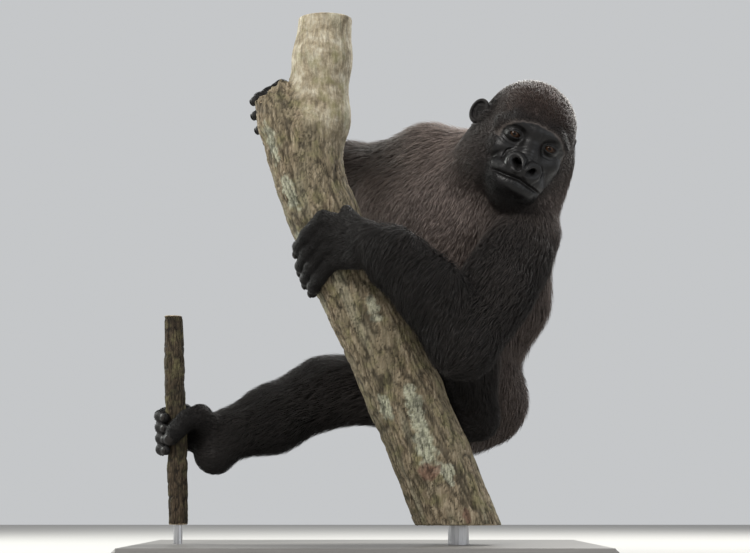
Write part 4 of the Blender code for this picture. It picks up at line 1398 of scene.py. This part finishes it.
def coat_paint():
    """Hair: each tuft's own colour, with painted shade towards its root and a painted highlight at its tip,
    and a soft gloss.
    """
    paint = Paint("coat_hair", 0.58, 0.26)
    paint.colour(paint.times(paint.stored("tint", "Color"), paint.mottle(0.0035, 3, 0.72, 1.22)))
    return paint.material


def skin_paint():
    """Dark skin: pores, fine cross-hatched creases and a satin gloss."""
    paint = Paint("gorilla_skin", 0.40, 0.28)
    paint.colour(paint.times(paint.stored("tint", "Color"), paint.mottle(0.012, 5, 0.70, 1.35)))
    gloss = paint.stored("gloss")
    paint.roughness(paint.mixed(gloss, (0.66, 0.66, 0.66), paint.mottle(0.006, 4, 0.30, 0.46)))
    paint.bump(paint.ramp(paint.cells(0.0016), (0.0, 0.0), (0.22, 1.0)), 0.00010, 0.55)
    leather = paint.ramp(paint.cells(0.0019, paint.warped(paint.place, 0.005)), (0.0, 0.0), (0.28, 1.0))
    paint.bump(paint.mixed(gloss, leather, WHITE), 0.00024, 0.6)
    paint.bump(paint.speckle(0.0009, 3), 0.00014, 0.6)
    paint.bump(paint.speckle(0.0065, 5), 0.00070, 0.6)
    return paint.material


def eye_paint():
    """A dark brown iris round the pupil, in a dark brown white of the eye, under a wet gloss."""
    paint = Paint("eye_surface", 0.05, 0.13)
    split = paint.node("SeparateXYZ", {0: paint.place})
    flat = paint.node("CombineXYZ", {0: split.outputs[0], 1: split.outputs[1]})
    reach = paint.node("VectorMath", {0: flat.outputs[0]}, operation="LENGTH").outputs["Value"]
    scaled = paint.node("Math", {0: reach, 1: 1 / 0.0125}, operation="MULTIPLY").outputs[0]
    rings = paint.ramp(scaled, (0.0, (0.002, 0.002, 0.002)), (0.17, (0.002, 0.002, 0.002)),
                       (0.20, (0.022, 0.011, 0.006)), (0.40, (0.040, 0.020, 0.010)),
                       (0.47, (0.008, 0.004, 0.002)), (0.56, (0.016, 0.009, 0.007)),
                       (1.0, (0.020, 0.012, 0.009)))
    paint.colour(paint.times(rings, paint.mottle(0.0009, 4, 0.55, 1.5)))
    return paint.material


def nail_paint():
    """Black horn with a fine grain."""
    paint = Paint("nail_horn", 0.52, 0.22)
    paint.colour(paint.mottle(0.004, 4, (0.007, 0.006, 0.0055), (0.019, 0.016, 0.014)))
    paint.bump(paint.speckle(0.0008, 3), 0.0002, 0.6)
    return paint.material


def bark_paint(name, tones, lean, size):
    """Bark: tones along the grain, dark fissures, lichen, and pale wood on the sawn ends."""
    paint = Paint(name, 0.88, 0.25)
    grain = paint.stretched((1, 1, 0.16), (0, lean, 0))
    fine = paint.speckle(size, 8, 0.65, grain)
    wide = paint.ramp(paint.speckle(size * 9, 4, 0.6, grain), (0.42, 0.0), (0.62, 0.65))
    base = paint.mixed(wide, paint.ramp(fine, *zip((0.30, 0.50, 0.72), tones)), tones[3])
    calm = paint.ramp(paint.speckle(0.024, 8, 0.7), (0.38, (0.150, 0.122, 0.080)),
                      (0.50, (0.270, 0.230, 0.160)), (0.64, (0.420, 0.385, 0.300)))
    calm = paint.times(calm, paint.ramp(fine, (0.36, 0.62), (0.62, 1.20)))
    base = paint.mixed(paint.stored("calm"), base, calm)
    moss = paint.ramp(paint.speckle(0.022, 6), (0.50, 0.0), (0.68, 0.55))
    base = paint.mixed(moss, base, (0.17, 0.16, 0.075))
    crust = paint.mottle(0.0030, 5, (0.24, 0.25, 0.17), (0.47, 0.47, 0.37))
    base = paint.mixed(paint.ramp(paint.stored("lichen"), (0.0, 0.0), (1.0, 0.78)), base, crust)
    rust = paint.mottle(0.0035, 5, (0.080, 0.040, 0.028), (0.210, 0.125, 0.088))
    base = paint.mixed(paint.ramp(paint.stored("rust"), (0.0, 0.0), (1.0, 0.8)), base, rust)
    base = paint.times(base, paint.ramp(paint.stored("pit"), (0.25, 1.10), (0.95, 0.34)))
    crack = paint.ramp(paint.cells(size * 1.15, paint.warped(grain, size)), (0.0, 0.40), (0.10, 1.0))
    broken = paint.ramp(paint.speckle(size * 5, 3), (0.38, 0.10), (0.60, 1.0))
    crack = paint.mixed(paint.mixed(paint.stored("calm"), broken, (0.10, 0.10, 0.10)), WHITE, crack)
    base = paint.times(base, crack)
    rings = paint.mottle(0.004, 6, (0.36, 0.27, 0.17), (0.52, 0.42, 0.28))
    paint.colour(paint.mixed(paint.stored("sawn"), base, rings))
    paint.bump(fine, 0.0016, 0.9)
    paint.bump(crack, 0.0011, 0.8)
    paint.bump(paint.speckle(0.0016, 4), 0.0005, 0.6)
    return paint.material


def brushed_paint(name, surface, stretch, coarse, fine, relief, low, high):
    """A faint brushed texture. Surface: roughness, specular, metallic; coarse and fine: size, detail."""
    roughness, specular, metallic = surface
    paint = Paint(name, roughness, specular)
    paint.shader.inputs["Metallic"].default_value = metallic
    grain = paint.stretched(stretch)
    paint.colour(paint.ramp(paint.speckle(*coarse, 0.6, grain), (0.3, low), (0.7, high)))
    paint.bump(paint.speckle(*fine, 0.6, grain), *relief)
    return paint.material


def board_paint():
    """Dark grey paint on a plain board."""
    return brushed_paint("board_paint", (0.48, 0.4, 0.0), (0.06, 1, 1), (0.004, 5), (0.0022, 4),
                         (0.0002, 0.5), (0.135, 0.130, 0.124), (0.165, 0.158, 0.150))


def steel_paint():
    """Brushed steel."""
    return brushed_paint("steel_brushed", (0.32, 0.5, 1.0), (1, 1, 0.04), (0.0012, 4), (0.0008, 3),
                         (0.0001, 0.4), (0.42, 0.42, 0.43), (0.58, 0.58, 0.59))


def floor_paint():
    """The studio floor."""
    paint = Paint("floor_pale", 0.9, 0.2)
    paint.shader.inputs["Base Color"].default_value = (0.40, 0.395, 0.385, 1)
    return paint.material


# ---------------------------------------------------------------- studio
CAMERA_PLACE = at(0.0138, -3.080, 0.100)
CAMERA_RISE = math.radians(6.5)
CAMERA_LENS = 93.6          # millimetres, on a sensor 36 wide
FLOOR_SIZE = 9.0
LAMP_TARGET = Vector((0.10, 0.0, 0.50))     # the animal's middle
LAMPS = [                   # name, place, size, watts, colour
    ("key", (-1.3, -2.2, 2.3), 1.0, 78, (1.0, 0.97, 0.93)),
    ("fill", (2.2, -2.0, 1.0), 1.8, 18, (0.93, 0.96, 1.0)),
    ("back", (1.2, 1.7, 2.2), 1.2, 112, (1.0, 0.99, 0.95)),
    ("side", (-1.9, 1.2, 1.5), 1.2, 60, (0.97, 1.0, 0.95))]


def make_camera():
    """The viewpoint, a little below the animal and looking up at it."""
    data = bpy.data.cameras.new("camera")
    data.lens = CAMERA_LENS
    data.sensor_width = 36.0
    camera = in_scene("camera", data)
    camera.location = CAMERA_PLACE
    camera.rotation_euler = (math.pi / 2 + CAMERA_RISE, 0, 0)
    bpy.context.scene.camera = camera


def add_lamp(name, place, size, power, colour):
    """A large soft lamp aimed at the animal."""
    data = bpy.data.lights.new(name, "AREA")
    data.size = size
    data.energy = power
    data.color = colour
    lamp = in_scene(name, data)
    lamp.location = place
    lamp.rotation_euler = (LAMP_TARGET - Vector(place)).to_track_quat("-Z", "Y").to_euler()


def make_studio():
    """A pale floor, pale surroundings and soft lamps in front, behind and at the side."""
    bm = bmesh.new()
    bmesh.ops.create_grid(bm, x_segments=1, y_segments=1, size=FLOOR_SIZE / 2)
    floor = built("floor", bm, floor_paint())
    world = bpy.data.worlds.new("studio")
    world.use_nodes = True
    backdrop = world.node_tree.nodes["Background"]
    backdrop.inputs["Color"].default_value = (0.93, 0.95, 0.97, 1)
    backdrop.inputs["Strength"].default_value = 0.60
    bpy.context.scene.world = world
    for lamp in LAMPS:
        add_lamp(*lamp)
    bpy.context.scene.view_settings.view_transform = "Standard"


# ---------------------------------------------------------------- assembly
FLESH = [                   # the CAD pieces that the skin replaces
    "belly", "chest", "ear_left", "ear_right", "foot_left", "foot_right", "forearm_left", "forearm_right",
    "hand_left", "hand_right", "head", "neck", "pelvis", "shank_left", "shank_right", "thigh_left",
    "thigh_right", "upper_arm_left", "upper_arm_right"]
TRUNK_PIECES = {            # the coat piece that each kind of hair on the trunk of the body belongs to
    "chest": "coat_chest", "shoulder": "coat_chest", "neck": "coat_neck", "back": "coat_back",
    "rump": "coat_rump"}
# bark: in the fissures, between, on the ridges, and the broad stains
TAN_TONES = ((0.068, 0.050, 0.031), (0.190, 0.150, 0.098), (0.390, 0.328, 0.235), (0.130, 0.114, 0.073))
DARK_TONES = ((0.018, 0.013, 0.008), (0.048, 0.034, 0.021), (0.105, 0.078, 0.050), (0.042, 0.036, 0.022))


def body_groups():
    """The groups of forms in the order in which they are blended, with the coat piece of each."""
    groups = [([form], piece) for form in trunk_forms() for kind, piece in TRUNK_PIECES.items()
              if form.coat is COATS[kind]]
    arm_right, arm_left, leg_right = arm_right_forms(), arm_left_forms(), leg_right_forms()
    head = head_forms()
    return groups + [
        (arm_right[:3], "coat_upper_arm_right"), (arm_right[3:], "coat_forearm_right"),
        (arm_left[:3], "coat_upper_arm_left"), (arm_left[3:], "coat_forearm_left"),
        (leg_right[:2], "coat_thigh_right"), (leg_right[2:], "coat_shank_right"),
        (leg_left_forms(), "coat_leg_left"), (head[:1], "coat_head"), (head[1:], "coat_cheek"),
        (hand_left_forms(), "coat_forearm_left"), (hand_right_forms(), "coat_forearm_right"),
        (foot_right_forms(), "coat_shank_right"), (foot_left_forms(), "coat_leg_left")]


def grow_coat(skin, growth, forms, wood, hair):
    """Cover the skin in tufts, one joined mesh for each stretch of the body."""
    count = TUFTS
    tufts = Tufts(skin, growth, forms, wood, count, np.random.default_rng(TUFT_SEED))
    for name in sorted(set(tufts.piece)):
        piece = tufts.mesh_of(str(name), np.nonzero(tufts.piece == name)[0])
        piece.data.materials.append(hair)
        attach(piece, "root")


def make_body(wood):
    """The skin and the coat on it."""
    groups = body_groups()
    forms = [form for group, _ in groups for form in group]
    skin = finished_skin(forms)
    body = [(form, piece) for group, piece in groups for form in group if form.coat and not form.carve]
    growth = Growth(points_of(skin.data), *zip(*body))
    tint_layer(skin.data, growth.tint)
    value_layer(skin.data, "gloss", growth.bare)
    skin.data.materials.append(skin_paint())
    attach(skin, "root")
    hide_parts(*FLESH)
    grow_coat(skin, growth, forms, wood, coat_paint())


def make_perch(trunk_parts, stem_parts):
    """The trunk and the stem in their bark."""
    trunk = make_wood("wood_trunk", trunk_parts, TRUNK_LEAN, TRUNK_STEP, fissure=0.0050, depth=0.0022,
                      seed=51, old=True)
    trunk.data.materials.append(bark_paint("bark_tan", TAN_TONES, TRUNK_LEAN, 0.0042))
    stem = make_wood("wood_stem", stem_parts, STEM_LEAN, STEM_STEP, fissure=0.0036, depth=0.0014,
                     seed=71, old=False)
    stem.data.materials.append(bark_paint("bark_dark", DARK_TONES, STEM_LEAN, 0.0030))
    for piece, node, slot in ((trunk, "perch_trunk", "bark"), (stem, "perch_stem", "dark_bark")):
        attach(piece, "root")
        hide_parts(node)


def make_eyes_and_nails():
    """The two eyeballs, and the nails of all the digits."""
    ball = eye_paint()
    for name, side in (("eye_right", -1), ("eye_left", 1)):
        eye = make_eye(name + "_ball", side, CAMERA_PLACE, ball)
        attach(eye, "root")
        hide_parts(name)
    nails = make_nails(nail_paint())
    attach(nails, "root")


def dress_stand(nodes):
    """The board and the rods keep their CAD shapes and get their materials."""
    for name, surface in (("stand_base", board_paint()), ("stand_rod_trunk", steel_paint()),
                          ("stand_rod_stem", steel_paint())):
        node = nodes[name]
        node.data.materials.clear()
        node.data.materials.append(surface)


def main():
    """Load the frame and dress it."""
    for leftover in list(bpy.data.objects):
        bpy.data.objects.remove(leftover, do_unlink=True)
    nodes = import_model()["nodes"]
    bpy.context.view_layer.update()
    make_camera()
    make_studio()
    trunk_parts, stem_parts = trunk_wood(), stem_wood()
    make_body([form for form in trunk_parts + stem_parts if not isinstance(form, Cut)])
    make_perch(trunk_parts, stem_parts)
    make_eyes_and_nails()
    dress_stand(nodes)


main()
